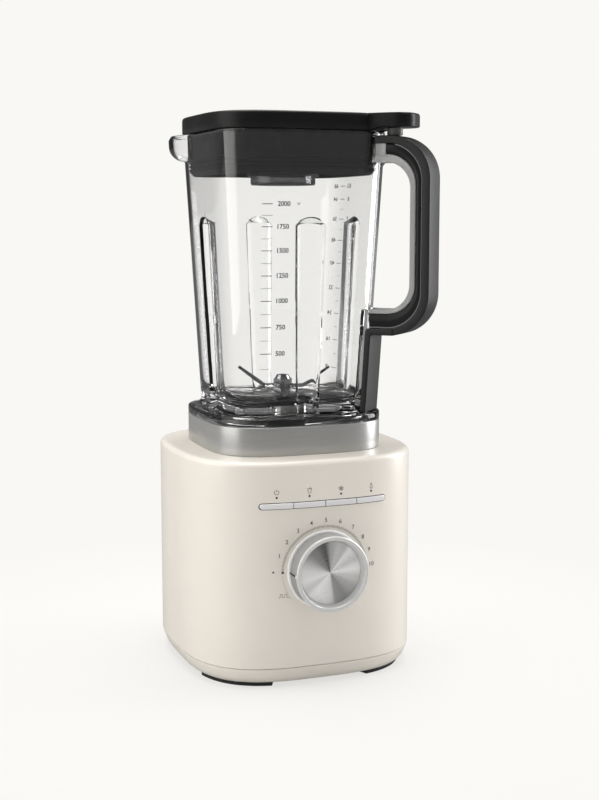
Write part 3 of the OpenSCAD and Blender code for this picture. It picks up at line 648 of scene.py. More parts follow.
def build_finishes(colours):
    """Every finish of the blender, by its slot or its place."""
    enamel, metal, grip, lid = (tuple(c) for c in (colours.enamel, colours.collar, colours.grip, colours.lid))
    return {
        "cream_shell": solid_finish(
            "cream_enamel", enamel, 0.34, grain=420.0, bump=0.012, mottle=0.012, smudge=0.03, wear=0.25,
            worn=shade(enamel, 1.1), coat=0.35, coat_rough=0.18, dust=0.01,
        ),
        "foot_rubber": solid_finish(
            "foot_rubber", (0.02, 0.02, 0.02), 0.75, grain=1400.0, bump=0.05, wear=0.3, dust=0.15
        ),
        "collar_metal": solid_finish(
            "collar_satin", shade(metal, 0.92), 0.32, metal=0.72, grain=1500.0, bump=0.006, mottle=0.02,
            smudge=0.03, wear=0.5, worn=(0.85, 0.85, 0.83), brush=(0.35, 0.35, 6.0), brush_bump=0.006,
        ),
        "pad_rubber": solid_finish(
            "pad_rubber", (0.016, 0.016, 0.017), 0.7, grain=1100.0, bump=0.04, dust=0.12
        ),
        "dark_plastic": solid_finish(
            "dark_plastic", (0.035, 0.035, 0.037), 0.42, grain=1300.0, bump=0.02, wear=0.2
        ),
        "white_plastic": solid_finish("white_plastic", (0.72, 0.72, 0.70), 0.4, grain=1200.0, bump=0.02),
        "circuit_board": solid_finish(
            "circuit_board", (0.02, 0.12, 0.05), 0.35, grain=600.0, mottle=0.2, coat=0.4
        ),
        "lamp_lens": solid_finish("lamp_lens", (0.03, 0.028, 0.027), 0.2, coat=0.6),
        "motor_iron": solid_finish(
            "motor_iron", (0.22, 0.23, 0.25), 0.5, metal=0.8, mottle=0.1, brush=(0.2, 0.2, 9.0), brush_bump=0.03
        ),
        "copper_wire": solid_finish(
            "copper_wire", (0.62, 0.27, 0.13), 0.3, metal=0.95, mottle=0.12, brush=(0.3, 0.3, 5.0),
            brush_bump=0.12, coat=0.4,
        ),
        "cast_alloy": solid_finish(
            "cast_alloy", (0.62, 0.62, 0.61), 0.46, metal=0.85, grain=500.0, bump=0.07, mottle=0.05
        ),
        "bearing_steel": solid_finish(
            "bearing_steel", (0.66, 0.66, 0.67), 0.2, metal=1.0, bump=0.004, mottle=0.02
        ),
        "brass": solid_finish("brass", (0.66, 0.48, 0.2), 0.3, metal=1.0, mottle=0.05),
        "carbon": solid_finish("carbon", (0.025, 0.025, 0.026), 0.6, grain=1500.0, bump=0.03),
        "screw_steel": solid_finish("screw_steel", (0.5, 0.5, 0.5), 0.32, metal=1.0, mottle=0.06, wear=0.4),
        "dial_metal": solid_finish(
            "dial_satin", tuple(colours.dial), 0.33, metal=0.25, grain=1500.0, bump=0.006, mottle=0.015,
            smudge=0.03, wear=0.6, worn=(0.95, 0.95, 0.94),
        ),
        "dial_skirt": solid_finish(
            "dial_skirt", (0.40, 0.395, 0.39), 0.36, metal=0.2, grain=1500.0, bump=0.006, smudge=0.03
        ),
        # The dial's dish: spun rings over sectors of painted sheen, light and dark by angle
        "dial_dish": spun_finish("dial_spun_painted_sheen", (0.96, 0.955, 0.95), 0.28),
        # Whiter copy of the cream shell for the dial's seat: painted highlight standing in for its lit chamfer
        "seat_painted_highlight": solid_finish(
            "seat_painted_highlight", (0.93, 0.925, 0.91), 0.3, grain=900.0, bump=0.004, coat=0.4, coat_rough=0.15
        ),
        "key_silver": solid_finish(
            "key_silver", tuple(colours.keys), 0.25, metal=0.2, grain=1600.0, bump=0.006, mottle=0.012,
            coat=0.5, coat_rough=0.12, wear=0.3,
        ),
        "jar_clear": clear_finish("jar_copolyester", (1.0, 1.0, 1.0), 0.0, 0.006, 1.49, 0.0008),
        "core_frost": clear_finish("core_frost", (0.54, 0.54, 0.535), 0.38, 0.03, 1.42, 0.004, 0.45),
        "grip_black": solid_finish(
            "grip_soft_touch", grip, 0.46, grain=1500.0, bump=0.022, mottle=0.06, smudge=0.05, wear=0.35,
            worn=(0.06, 0.06, 0.06), dust=0.01, specular=0.5,
        ),
        "grip_side": solid_finish(
            "grip_side", (0.014, 0.014, 0.014), 0.3, grain=900.0, bump=0.004, specular=0.22
        ),
        "post_grey": solid_finish("post_grey", (0.14, 0.14, 0.138), 0.4, grain=1100.0, bump=0.01, smudge=0.04),
        # Light grey line between the grip's side and back: a small proud trim whose lighter colour is a painted
        # highlight of the groove's lit edge
        "grip_trim_painted_highlight": solid_finish("grip_trim_painted_highlight", (0.16, 0.16, 0.16), 0.3, metal=0.2, bump=0.004),
        "blade_steel": solid_finish(
            "blade_steel", (0.42, 0.42, 0.43), 0.16, metal=1.0, bump=0.004, mottle=0.03, brush=(1.0, 6.0, 1.0),
            brush_bump=0.008,
        ),
        "lid_black": solid_finish(
            "lid_satin", lid, 0.38, grain=1100.0, bump=0.010, mottle=0.08, smudge=0.05, wear=0.4,
            worn=(0.05, 0.05, 0.05), dust=0.01, specular=0.22,
        ),
        "gasket_rubber": solid_finish(
            "gasket_rubber", (0.004, 0.004, 0.004), 0.6, grain=1200.0, bump=0.02, dust=0.05
        ),
        "cap_clear": clear_finish("cap_smoked", (0.30, 0.305, 0.305), 0.08, 0.02, 1.46, 0.001),
        "print_ink": solid_finish("print_ink", tuple(colours.print_ink), 0.5, bump=0.004, mottle=0.1),
        "jar_ink": solid_finish("jar_ink", tuple(colours.jar_ink), 0.45, bump=0.004, mottle=0.1),
    }


# ---------------------------------------------------------------------------
# Base
# ---------------------------------------------------------------------------


def base_reach(scene, inset, p):
    b = scene.blender_base
    return reach(mm(b.width) / 2 - inset, mm(b.depth) / 2 - inset, b.squareness, p)


def front_y(scene, x):
    """Where the front of the base is at a distance x from its middle."""
    b = scene.blender_base
    half_w, half_d = mm(b.width) / 2, mm(b.depth) / 2
    return -half_d * (1 - (np.abs(x) / half_w) ** b.squareness) ** (1 / b.squareness)


def pill(x0, x1, z, half, r_left, r_right, inset=0.0, arcs=7, straight=14):
    """A bar with round or square ends: an upper line of points and the same below."""
    x0, x1, half = x0 + inset, x1 - inset, half - inset
    rl, rr = max(r_left - inset, 0.05), max(r_right - inset, 0.05)
    t = np.radians(np.linspace(6, 90, arcs))
    left_x, left_h = x0 + rl * (1 - np.cos(t)), half - rl + rl * np.sin(t)
    right_x, right_h = (x1 - rr * (1 - np.cos(t)))[::-1], (half - rr + rr * np.sin(t))[::-1]
    middle_x = np.linspace(left_x[-1], right_x[0], straight + 2)[1:-1]
    xs = np.concatenate([left_x, middle_x, right_x])
    hs = np.concatenate([left_h, np.full(straight, half), right_h])
    return np.concatenate([np.column_stack([xs, z - hs]), np.column_stack([xs, z + hs])[::-1]])


def on_front(scene, outline, depth):
    """Points of a flat outline laid on the front, at a depth below it."""
    return np.column_stack([outline[:, 0], front_y(scene, outline[:, 0]) + depth, outline[:, 1]])


def bar_caps(count, base, flip=False):
    """Faces that close a pill ring by joining its upper and lower points."""
    half = count // 2
    faces = [(base + i, base + i + 1, base + count - 2 - i, base + count - 1 - i) for i in range(half - 1)]
    return [tuple(reversed(f)) for f in faces] if flip else faces


def build_base(scene):
    b = scene.blender_base
    p = turns(scene.blender_stage.steps)
    seam, top, wall, foot = mm(b.seam), mm(b.top), mm(b.wall), mm(b.foot)
    corner = np.radians(np.linspace(0, 90, 11))
    rings = [
        ring_at(base_reach(scene, 0.35, p), p, seam + 0.35), ring_at(base_reach(scene, 0.0, p), p, seam + 0.75)
    ]
    rings += [ring_at(base_reach(scene, 0.0, p), p, z) for z in (40.0, 70.0, 110.0, 150.0)]
    rings += [
        ring_at(
            base_reach(scene, TOP_ROUND * (1 - math.cos(t)), p), p, top - TOP_ROUND * (1 - math.sin(t))
        ) for t in corner
    ]
    rings += [ring_at(base_reach(scene, 9.0, p), p, top), ring_at(base_reach(scene, 30.0, p), p, top)]
    rings += [ring_at(24.0, p, top), ring_at(24.0, p, top - wall)]
    rings += [
        ring_at(base_reach(scene, wall + 4.0, p), p, top - wall),
        ring_at(base_reach(scene, wall, p), p, top - wall - 4.0),
        ring_at(base_reach(scene, wall, p), p, seam + 0.35),
    ]
    shell = make_piece("base_shell", skin(rings, loop=True), "base", "cream_shell", ["housing"])
    controls = scene.blender_controls
    z, half_row, half_key = mm(controls.key_height), mm(controls.key_row) / 2, mm(controls.key_size) / 2
    slot = pill(-half_row - 0.55, half_row + 0.55, z, half_key + 0.55, half_key + 0.55, half_key + 0.55)
    count = len(slot)
    front = np.column_stack([slot[:, 0], np.full(count, -110.0), slot[:, 1]])
    back = np.column_stack([slot[:, 0], np.full(count, -72.0), slot[:, 1]])
    verts = np.concatenate([front, back])
    faces = [(i, (i + 1) % count, count + (i + 1) % count, count + i) for i in range(count)]
    carve(shell, (verts, faces + bar_caps(count, 0, True) + bar_caps(count, count)))

    inset = [
        (6.5 + 2.2, foot), (6.5, foot), (5.4, foot + 0.8), (3.6, foot + 3.0), (2.3, foot + 5.6),
        (1.15, foot + 9.0),
    ]
    inset += [
        (0.35, seam - 1.2), (0.28, seam - 0.35), (0.75, seam), (wall + 0.4, seam), (wall + 2.4, foot + 7.0)
    ]
    inset += [(8.5, foot + 3.0)]
    pan = [ring_at(base_reach(scene, i, p), p, z) for i, z in inset]
    make_piece("bottom_pan", skin(pan), "base", "cream_shell", ["base_pan"])


def build_feet(scene):
    foot = mm(scene.blender_base.foot)
    p = np.radians(np.linspace(27, 65, 25))
    names = {(1, 1): "rear_right", (-1, 1): "rear_left", (1, -1): "front_right", (-1, -1): "front_left"}
    for (sx, sy), label in names.items():
        section = fillet([(7.6, 0.0), (7.5, foot), (18.0, foot), (17.8, 0.0)], [0.7, 0.0, 0.0, 0.7], 4, True)
        rings = []
        for q in p:
            d = base_reach(scene, section[:, 0], q)
            rings.append(np.column_stack([sx * d * math.cos(q), sy * d * math.sin(q), section[:, 1]]))
        make_piece(f"foot_pad_{label}", skin(rings), "base", "foot_rubber", [f"foot_{label}"])


def build_collar(scene):
    b = scene.blender_base
    p = turns(scene.blender_stage.steps)
    half, top, low = mm(b.collar_width) / 2, mm(b.collar_top), mm(b.top)
    profile = fillet(
        [(0.35, low), (0.0, low + 0.4), (0.0, top - 0.5), (0.5, top), (3.5, top), (3.5, low)],
        [0, 0.3, 0.3, 0.3, 0.2, 0], 3, True,
    )
    rings = [ring_at(reach(half - i, half - i, b.collar_squareness, p), p, z) for i, z in profile]
    make_piece("collar_ring", skin(rings, loop=True), "base", "collar_metal", ["collar"], 24)


def build_inlet(scene):
    back = mm(scene.blender_base.depth) / 2
    profile = fillet(
        [
            (3.6, back - 10), (10, back - 10), (10, back - 7), (7, back - 7), (7, back + 0.2), (10, back + 0.2),
            (10, back + 3), (3.6, back + 3),
        ],
        [0.3, 0.3, 0.3, 0.2, 0.2, 0.3, 1.1, 0.9], 4, True,
    )
    verts, faces = revolve(profile, 72)
    turned = np.column_stack([verts[:, 0], verts[:, 2], INLET_HEIGHT + verts[:, 1]])
    make_piece("inlet_gland", (turned, faces), "base", "pad_rubber", ["cord_inlet"])


# ---------------------------------------------------------------------------
# Keys, dial and printed marks
# ---------------------------------------------------------------------------

KEY_BODIES = ("power_key", "smoothie_key", "ice_key", "clean_key")
KEY_NODES = ("key_power", "key_smoothie", "key_ice", "key_clean")


def build_keys(scene):
    c = scene.blender_controls
    z, row, half, travel = mm(c.key_height), mm(c.key_row), mm(c.key_size) / 2, mm(c.key_travel)
    edge = half + 0.5
    # A thin frame lining the key slot; its dark ring round the keys is painted shade standing in for the
    # shadowed gap
    frame_rings = []
    for grow, depth in ((0.0, 7.8), (0.0, 0.0), (-0.08, -0.08), (-0.32, -0.08), (-0.4, 0.02), (-0.4, 7.8)):
        outline = pill(-row / 2 - 0.5, row / 2 + 0.5, z, edge, edge, edge, -grow)
        frame_rings.append(on_front(scene, outline, depth))
    make_piece("key_surround_painted_gap_shade", skin(frame_rings, loop=True), "base", "dark_plastic", ["key_frame"])
    pitch = row / 4
    soft = [(0.7, 0.0), (0.45, 0.05), (0.25, 0.16), (0.1, 0.32), (0.0, 0.55)]
    for i, (body, node) in enumerate(zip(KEY_BODIES, KEY_NODES)):
        x0, x1 = -row / 2 + i * pitch + 0.25, -row / 2 + (i + 1) * pitch - 0.25
        rl, rr = (half if i == 0 else 0.35), (half if i == 3 else 0.35)
        rings = [on_front(scene, pill(x0, x1, z, half, rl, rr, 0.0), 2.4)]
        rings += [on_front(scene, pill(x0, x1, z, half, rl, rr, a), d - travel) for a, d in reversed(soft)]
        verts, faces = skin(rings, caps=(False, False))
        count = len(rings[0])
        faces += bar_caps(count, 0, True) + bar_caps(count, (len(rings) - 1) * count)
        x = (x0 + x1) / 2
        stem = revolve([(0.2, -9.6), (1.4, -9.6), (1.4, -1.0), (0.2, -1.0)], 24, loop=False)
        stem = point_forward(stem, -mm(scene.blender_base.depth) / 2 + 1.8, z)
        stem = (stem[0] + np.array([x, 0.0, 0.0]), stem[1])
        make_piece(f"{body}_cap", merge((verts, faces), stem), body, "key_silver", [node])


def build_dial(scene):
    c = scene.blender_controls
    front = -mm(scene.blender_base.depth) / 2
    z, r, out = mm(c.dial_height), mm(c.dial_radius), mm(c.dial_depth)
    ring = fillet(
        [(5.9, -4.9), (r + 1.4, -4.9), (r + 1.4, 0.9), (r - 0.2, 1.1), (r - 2.5, 0.55), (5.9, 0.55)],
        [0, 0.3, 0.8, 0.3, 0.3, 0], 5, True,
    )
    # The seat round the dial is a cream part, finished whiter as a painted highlight of its lit edge
    make_piece(
        "dial_seat", point_forward(revolve(ring, 160), front, z), "base", "cream_shell", ["dial_bezel"],
        finish="seat_painted_highlight",
    )
    tall = out - 1.2
    back = front - 1.2
    profile = fillet(
        [
            (r - 6.2, tall - 6.8), (r - 6.2, tall - 8.0), (r - 1.0, tall - 8.0), (r - 0.7, tall - 2.4),
            (r, tall - 2.2), (r, tall - 0.8), (r - 0.8, tall), (r - 2.6, tall), (r - 3.4, tall - 0.9),
            (r - 5.0, tall - 6.0), (r - 5.0, tall - 6.8),
        ],
        [0.1, 0.1, 0.1, 0.1, 0.3, 0.7, 0.7, 0.7, 0.6, 0.1, 0.1], 5, True,
    )
    skirt = fillet(
        [
            (3.05, 3.0), (3.05, 0.0), (r - 0.5, 0.0), (r - 0.3, tall - 2.4), (r - 2.0, tall - 2.4),
            (r - 2.0, tall - 7.9), (r - 6.2, tall - 7.9), (r - 6.2, 3.0),
        ],
        [0.2, 0.3, 0.5, 0.3, 0.1, 0.1, 0.1, 0.5], 5, True,
    )
    make_piece(
        "dial_skirt", point_forward(revolve(skirt, 192), back, z), "speed_dial", "dial_metal",
        finish="dial_skirt",
    )
    knob = point_forward(revolve(profile, 192), back, z)
    tab = box_part((-r - 0.45, back - tall + 0.5, z - 1.3), (-r + 2.2, back - tall + 3.6, z + 1.3), 0.5)
    make_piece("dial_ring", merge(knob, tab), "speed_dial", "dial_metal", ["dial"])
    line = box_part((-r - 0.1, back - tall + 3.2, z - 0.55), (-r + 1.9, back - 0.3, z + 0.55), 0.2)
    make_piece("dial_pointer", line, "speed_dial", "dark_plastic")
    dish = [
        (0.02, 0.0), (r - 6.3, 0.0), (r - 6.3, 0.4), (r - 5.05, 0.4), (r - 5.05, 1.6), (r - 5.2, 1.75),
        (16.0, 1.5), (8.0, 1.2), (0.02, 0.9),
    ]
    face = point_forward(revolve(dish, 192, loop=False), front - out + 7.6, z)
    make_piece("dial_face", face, "speed_dial", "dial_metal", ["dial_insert"], 40, finish="dial_dish")


def power_mark():
    return merge(stroke(arc(0, 0, 1.35, -235, 55, 30), 0.34), stroke([(0, 0.35), (0, 1.0), (0, 1.75)], 0.34))


def cup_mark():
    cup = stroke([(-1.2, 1.2), (-0.95, -0.2), (-0.75, -1.4), (0.75, -1.4), (0.95, -0.2), (1.2, 1.2)], 0.32)
    return merge(
        cup, stroke([(-1.5, 1.25), (0, 1.25), (1.5, 1.25)], 0.32),
        stroke([(0.15, 1.2), (0.45, 1.8), (0.8, 2.4)], 0.28),
    )


def ice_mark():
    arms = [
        stroke(
            [(1.6 * math.cos(a), 1.6 * math.sin(a)), (0, 0), (-1.6 * math.cos(a), -1.6 * math.sin(a))], 0.28
        ) for a in np.radians([30, 90, 150])
    ]
    for a in np.radians([30, 90, 150, 210, 270, 330]):
        tip = np.array([math.cos(a), math.sin(a)])
        side = np.array([-tip[1], tip[0]])
        arms.append(stroke([tip * 1.35 + side * 0.45, tip * 0.95, tip * 1.35 - side * 0.45], 0.22))
    return merge(*arms)


def drop_mark():
    t = np.linspace(0, TAU, 40)[:-1]
    shape = np.column_stack([1.05 * np.sin(t) * np.abs(np.sin(t / 2)), 1.7 * np.cos(t)])
    return stroke(shape, 0.34, closed=True)


def print_on_base(scene, name, parts):
    """Ink laid just proud of the front."""
    verts, faces = merge(*parts)
    laid = np.column_stack([verts[:, 0], front_y(scene, verts[:, 0]) - 0.06, verts[:, 1]])
    make_piece(name, (laid, faces), "base", "dark_plastic", closed=False, finish="print_ink")


def build_base_marks(scene):
    c = scene.blender_controls
    z, r = mm(c.dial_height) - 0.7, mm(c.tick_radius)
    marks = []
    for i in range(101):
        a = math.radians(176.0 - i * 1.74)
        spoke = np.array([math.cos(a), math.sin(a)])
        marks.append(placed(stroke([spoke * (r - 0.8), spoke * (r + 0.15), spoke * (r + 1.1)], 0.3), 0, z))
    dots = np.radians(np.arange(184, 216, 2.4))
    marks += [disc(r * math.cos(a), z + r * math.sin(a), 0.24, 10) for a in dots]
    marks += [disc(-r + 0.1, z + 0.8, 1.05), disc(-41.4, z + 1.4, 0.8)]
    pulse = np.array(
        [
            (-4.2, -1.2), (-2.6, -1.2), (-2.6, 1.4), (-0.9, 1.4), (-0.9, -1.2), (0.9, -1.2), (0.9, 1.4),
            (2.6, 1.4), (2.6, -1.2), (4.2, -1.2),
        ]
    )
    marks += [placed(stroke([q, (q + r) / 2, r], 0.3), -33.5, z - 17.4) for q, r in zip(pulse, pulse[1:])]
    around = mm(c.numeral_radius)
    for number in range(1, 11):
        a = math.radians(159.4 - (number - 1) * 17.55)
        digits = lettering(str(number), mm(c.numeral_size), 0.03)
        marks.append(placed(digits, around * math.cos(a), z + around * math.sin(a)))
    pitch = mm(c.key_row) / 4
    icons = (power_mark(), cup_mark(), ice_mark(), drop_mark())
    lamps = []
    for i, (verts, faces) in enumerate(icons):
        x = (i - 1.5) * pitch
        marks.append(placed((verts * 1.25, faces), x, mm(c.key_height) + ICON_RISE))
        flat, small = (disc(x, mm(c.key_height) + LAMP_RISE, size)[0] for size in (0.85, 0.45))
        lamps.append(
            skin([on_front(scene, ring, depth) for ring, depth in ((flat, 2.0), (flat, -0.02), (small, -0.14))])
        )
    print_on_base(scene, "base_print", marks)
    make_piece("status_lamps", merge(*lamps), "base", "lamp_lens", ["indicator_lamps"], finish="lamp_lens")


# ---------------------------------------------------------------------------
# Jar and handle
# ---------------------------------------------------------------------------


def jar_turns():
    """Directions round the jar, closer together at the flutes and the corners."""
    degrees = []
    for side in range(4):
        centre = side * 90.0
        degrees += list(centre + np.linspace(-14, 14, 64, endpoint=False))
        degrees += list(centre + 14 + np.linspace(0, 62, 56, endpoint=False))
    degrees += [-45 + side * step for side in (-1, 1) for step in np.arange(8.0, 10.6, 0.13)]
    return np.radians(np.sort(np.array(degrees) % 360.0))


def jar_half(scene, z):
    j = scene.blender_jar
    low, high = mm(scene.blender_base.collar_top), mm(j.rim)
    return mm(j.low_half) + (z - low) * (mm(j.high_half) - mm(j.low_half)) / (high - low)


def flute(scene, p, d, z):
    """How far a flute presses the wall in, with a slanted dome over its shelf."""
    j = scene.blender_jar
    top, depth = mm(j.flute_top), mm(j.flute_depth)
    shelf, dome = top - 4.7, 9.4
    off = np.abs(d * np.sin(((p + math.pi / 4) % (math.pi / 2)) - math.pi / 4))
    if z > shelf:
        rise = 4.7 * np.sqrt(np.clip(1 - (off / dome) ** 2, 0.0, 1.0))
        return np.where(off < dome, depth * np.clip(1 - (z - shelf) / np.maximum(rise, 0.05), 0.0, 1.0), 0.0)
    half = 9.5 + (z - 237.0) * 0.022
    near = max(0.0, z - (shelf - 3.0))
    half = half - 3.0 + math.sqrt(max(0.0, 9.0 - near ** 2))
    share = np.clip(1 - (off / half) ** 2, 0.0, 1.0)
    return depth * np.power(share, 0.36)


def spout_swell(scene, p, z):
    j = scene.blender_jar
    off = np.abs(np.degrees(away_from(SPOUT_DIR, p)))
    shape = np.where(off < 26, np.cos(np.radians(90 * np.minimum(off, 26) / 26)) ** 1.4, 0.0)
    rim = mm(j.rim)
    tuck = 1 - 0.22 * ease(rim - 5.0, rim + 0.6, z) ** 1.5
    return (mm(j.spout) - 1.4) * shape * np.sqrt(
        np.clip(1 - (np.clip(414.0 - z, 0.0, None) / 11.5) ** 2, 0.0, 1.0)
    ) * tuck


def jar_wall(scene, p, z, inset):
    half = jar_half(scene, z) - inset
    d = reach(half, half, scene.blender_jar.squareness, p)
    return d - flute(scene, p, d, z) + spout_swell(scene, p, z)


def strip_reach(z):
    """Distance from the axis to the back of the black strip under the lower arm."""
    return 72.95 + (z - 206.0) * 0.0633


def grip_pad(scene, p, z):
    """The squared pads that carry the grip: a rib below the lower arm and a block at the upper one."""
    h = scene.blender_handle
    off = np.abs(away_from(HANDLE_DIR, p))
    low, high = mm(h.gap_low), mm(h.gap_high)
    if z <= low:
        far = strip_reach(z) + 3.2 * float(ease(265.0, 273.0, z))
        far = far - 3.0 * (1 - math.sqrt(max(0.0, 1 - (max(0.0, z - low + 3.0) / 3.0) ** 2)))
    elif high - 3.0 <= z <= mm(h.high) + 0.2:
        far = 84.3 - 2.6 * (1 - float(ease(high - 3.0, high + 1.0, z))) - 2.0 * float(ease(417.5, 420.0, z))
    else:
        return np.zeros_like(p)
    half = mm(h.width) / 2 - 0.3
    near = off < math.radians(60)
    return np.where(
        near, np.minimum(far / np.cos(np.where(near, off, 0)), half / np.maximum(np.sin(off), 1e-4)), 0.0
    )


def jar_skin(scene, p, z):
    """Outside of the jar, with the pads that carry the grip."""
    return np.maximum(jar_wall(scene, p, z, 0.0), grip_pad(scene, p, z))


def build_jar(scene):
    j, b = scene.blender_jar, scene.blender_base
    p = jar_turns()
    rim, wall, top = mm(j.rim), mm(j.wall), mm(j.flute_top)
    deck = mm(b.collar_top)
    flange_top, floor, half = deck + FLANGE_RISE, deck + FLOOR_RISE, mm(b.collar_width) / 2
    collar = lambda inset: reach(half - inset, half - inset, b.collar_squareness, p)
    seat = mm(b.top) + 8.2
    rings = [ring_at(17.0, p, flange_top - 0.6)]
    rings += [
        ring_at(collar(inset), p, z) for inset, z in (
            (12.0, flange_top - 0.6), (12.0, seat + 0.5), (11.0, seat), (5.0, seat), (4.4, seat + 0.6),
            (4.4, deck + 0.3), (0.6, deck + 0.3), (0.12, deck + 0.6), (0.0, deck + 1.2),
            (0.0, flange_top - 1.4), (0.25, flange_top - 0.7), (0.8, flange_top - 0.2), (1.7, flange_top),
        )
    ]
    foot_z = flange_top + 7.0
    for t in np.linspace(0, 1, 9):
        swing = math.radians(90 * t)
        z = flange_top + 7.0 * (1 - math.cos(swing))
        share = math.sin(swing) ** 0.9
        rings.append(ring_at(np.minimum(jar_skin(scene, p, z) + 6.0 * (1 - share), collar(2.2)), p, z))
    gap_low, gap_high = mm(scene.blender_handle.gap_low), mm(scene.blender_handle.gap_high)
    heights = list(np.linspace(foot_z + 6, 264.0, 7)) + [267.0, 269.0, 271.0, 273.0, 276.0, 280.0]
    heights += list(gap_low - np.array([3.2, 2.2, 1.3, 0.6, 0.15, 0.0]))
    heights += [gap_low + 0.02, gap_low + 8, 320.0, 338.0]
    heights += list(top - np.array([8.2, 7.7, 7.1, 6.5, 6.0, 5.6, 5.2, 4.95, 4.72, 4.68]))
    heights += list(top - 4.6 * np.linspace(0.96, 0, 15) ** 1.15)
    heights += [top + 8, top + 24, gap_high - 3.02]
    heights += list(gap_high + np.array([-3.0, -2.2, -1.4, -0.6, 0.2, 1.0, 2.2]))
    heights += [
        402.6, 403.0, 403.6, 404.4, 405.4, 406.6, 408.0, 409.6, 411.3, 413.0, 414.5, 416.0, 417.5, 418.6, 419.3,
        419.98, 420.02, rim - 2.4, rim - 1.2,
    ]
    rings += [ring_at(jar_skin(scene, p, z), p, z) for z in heights]
    for t in np.radians([25, 50, 75, 105, 130, 155]):
        z = rim - 1.2 + 1.2 * math.sin(t)
        rings.append(ring_at(jar_wall(scene, p, rim - 1.2, wall / 2 - wall / 2 * math.cos(t)), p, z))
    rings += [ring_at(jar_wall(scene, p, z, wall), p, z) for z in reversed(heights) if z > floor + 15]
    for t in np.radians(np.linspace(0, 90, 10)):
        z = floor + 14.0 - 14.0 * math.sin(t)
        rings.append(ring_at(jar_wall(scene, p, z, wall) - 12.0 * (1 - math.cos(t)), p, z))
    rings += [ring_at(30.0, p, floor), ring_at(17.0, p, floor)]
    make_piece("jar_vessel", skin(rings, loop=True), "jar_unit", "jar_clear", ["jar"], 40)


def handle_lines(scene, near_low, near_high, steps=18):
    """Matching points along the finger side and along the back of the handle, in its own plane."""
    h = scene.blender_handle
    sides = []
    for far, low, high, r in (
        (mm(h.inner), mm(h.gap_low), mm(h.gap_high), mm(h.bend)),
        (mm(h.inner) + mm(h.thickness), mm(h.low), mm(h.high), mm(h.outer_bend)),
    ):
        line = [(x, low) for x in np.linspace(near_low, far - r, 5)]
        line += [
            (far - r + r * math.sin(t), low + r - r * math.cos(t)) for t in np.linspace(0, math.pi / 2, steps)[
                1:
            ]
        ]
        line += [(far, z) for z in np.linspace(low + r, high - r, 9)[1:]]
        line += [
            (far - r + r * math.cos(t), high - r + r * math.sin(t)) for t in np.linspace(0, math.pi / 2, steps)[
                1:
            ]
        ]
        line += [(x, high) for x in np.linspace(far - r, near_high, 5)[1:]]
        sides.append(np.array(line))
    return sides


def to_handle(radius, across, z):
    """From the handle's own plane to the frame."""
    c, s = math.cos(HANDLE_DIR), math.sin(HANDLE_DIR)
    return np.column_stack([radius * c - across * s, radius * s + across * c, z])


def handle_lane(scene, start, stop, half, belly, near_low, near_high, soft=0.35, keep=None):
    """One lane between two shares of the handle's depth, given at the lower arm, grip and upper arm."""
    inner, outer = handle_lines(scene, near_low, near_high)
    way = np.linspace(0.0, 1.0, len(inner))
    share_a, share_b = (
        np.interp(way, [0.12, 0.42, 0.58, 0.88], [v[0], v[1], v[1], v[2]]) for v in (start, stop)
    )
    rings = []
    for i in range(*(keep or (0, len(inner)))):
        across = outer[i] - inner[i]
        deep = np.linalg.norm(across)
        a, b = share_a[i] * deep, share_b[i] * deep
        middle = (a + b) / 2
        corners = [
            (a, -half + belly), (a, half - belly), (middle, half), (b, half - belly), (b, -half + belly),
            (middle, -half),
        ]
        loop = fillet(corners, [soft, soft, 3.0 if belly else 0.0, soft, soft, 3.0 if belly else 0.0], 4, True)
        spot = inner[i] + loop[:, :1] * (across / deep)
        rings.append(to_handle(spot[:, 0], loop[:, 1], spot[:, 1]))
    return skin(rings)


def slab(outline, half, soft, steps=5):
    """A closed outline in the handle's plane given a width and softened edges."""
    line = np.array(outline)
    along = np.roll(line, -1, 0) - np.roll(line, 1, 0)
    along /= np.linalg.norm(along, axis=1)[:, None]
    outward = np.column_stack([along[:, 1], -along[:, 0]])
    near = []
    for t in np.radians(np.linspace(0, 90, steps + 1)):
        inside = line - outward * soft * (1 - math.sin(t))
        near.append((inside, half - soft * (1 - math.cos(t))))
    stack = [(q, -across) for q, across in near] + [(q, across) for q, across in reversed(near)]
    return skin([to_handle(q[:, 0], np.full(len(q), across), q[:, 1]) for q, across in stack])


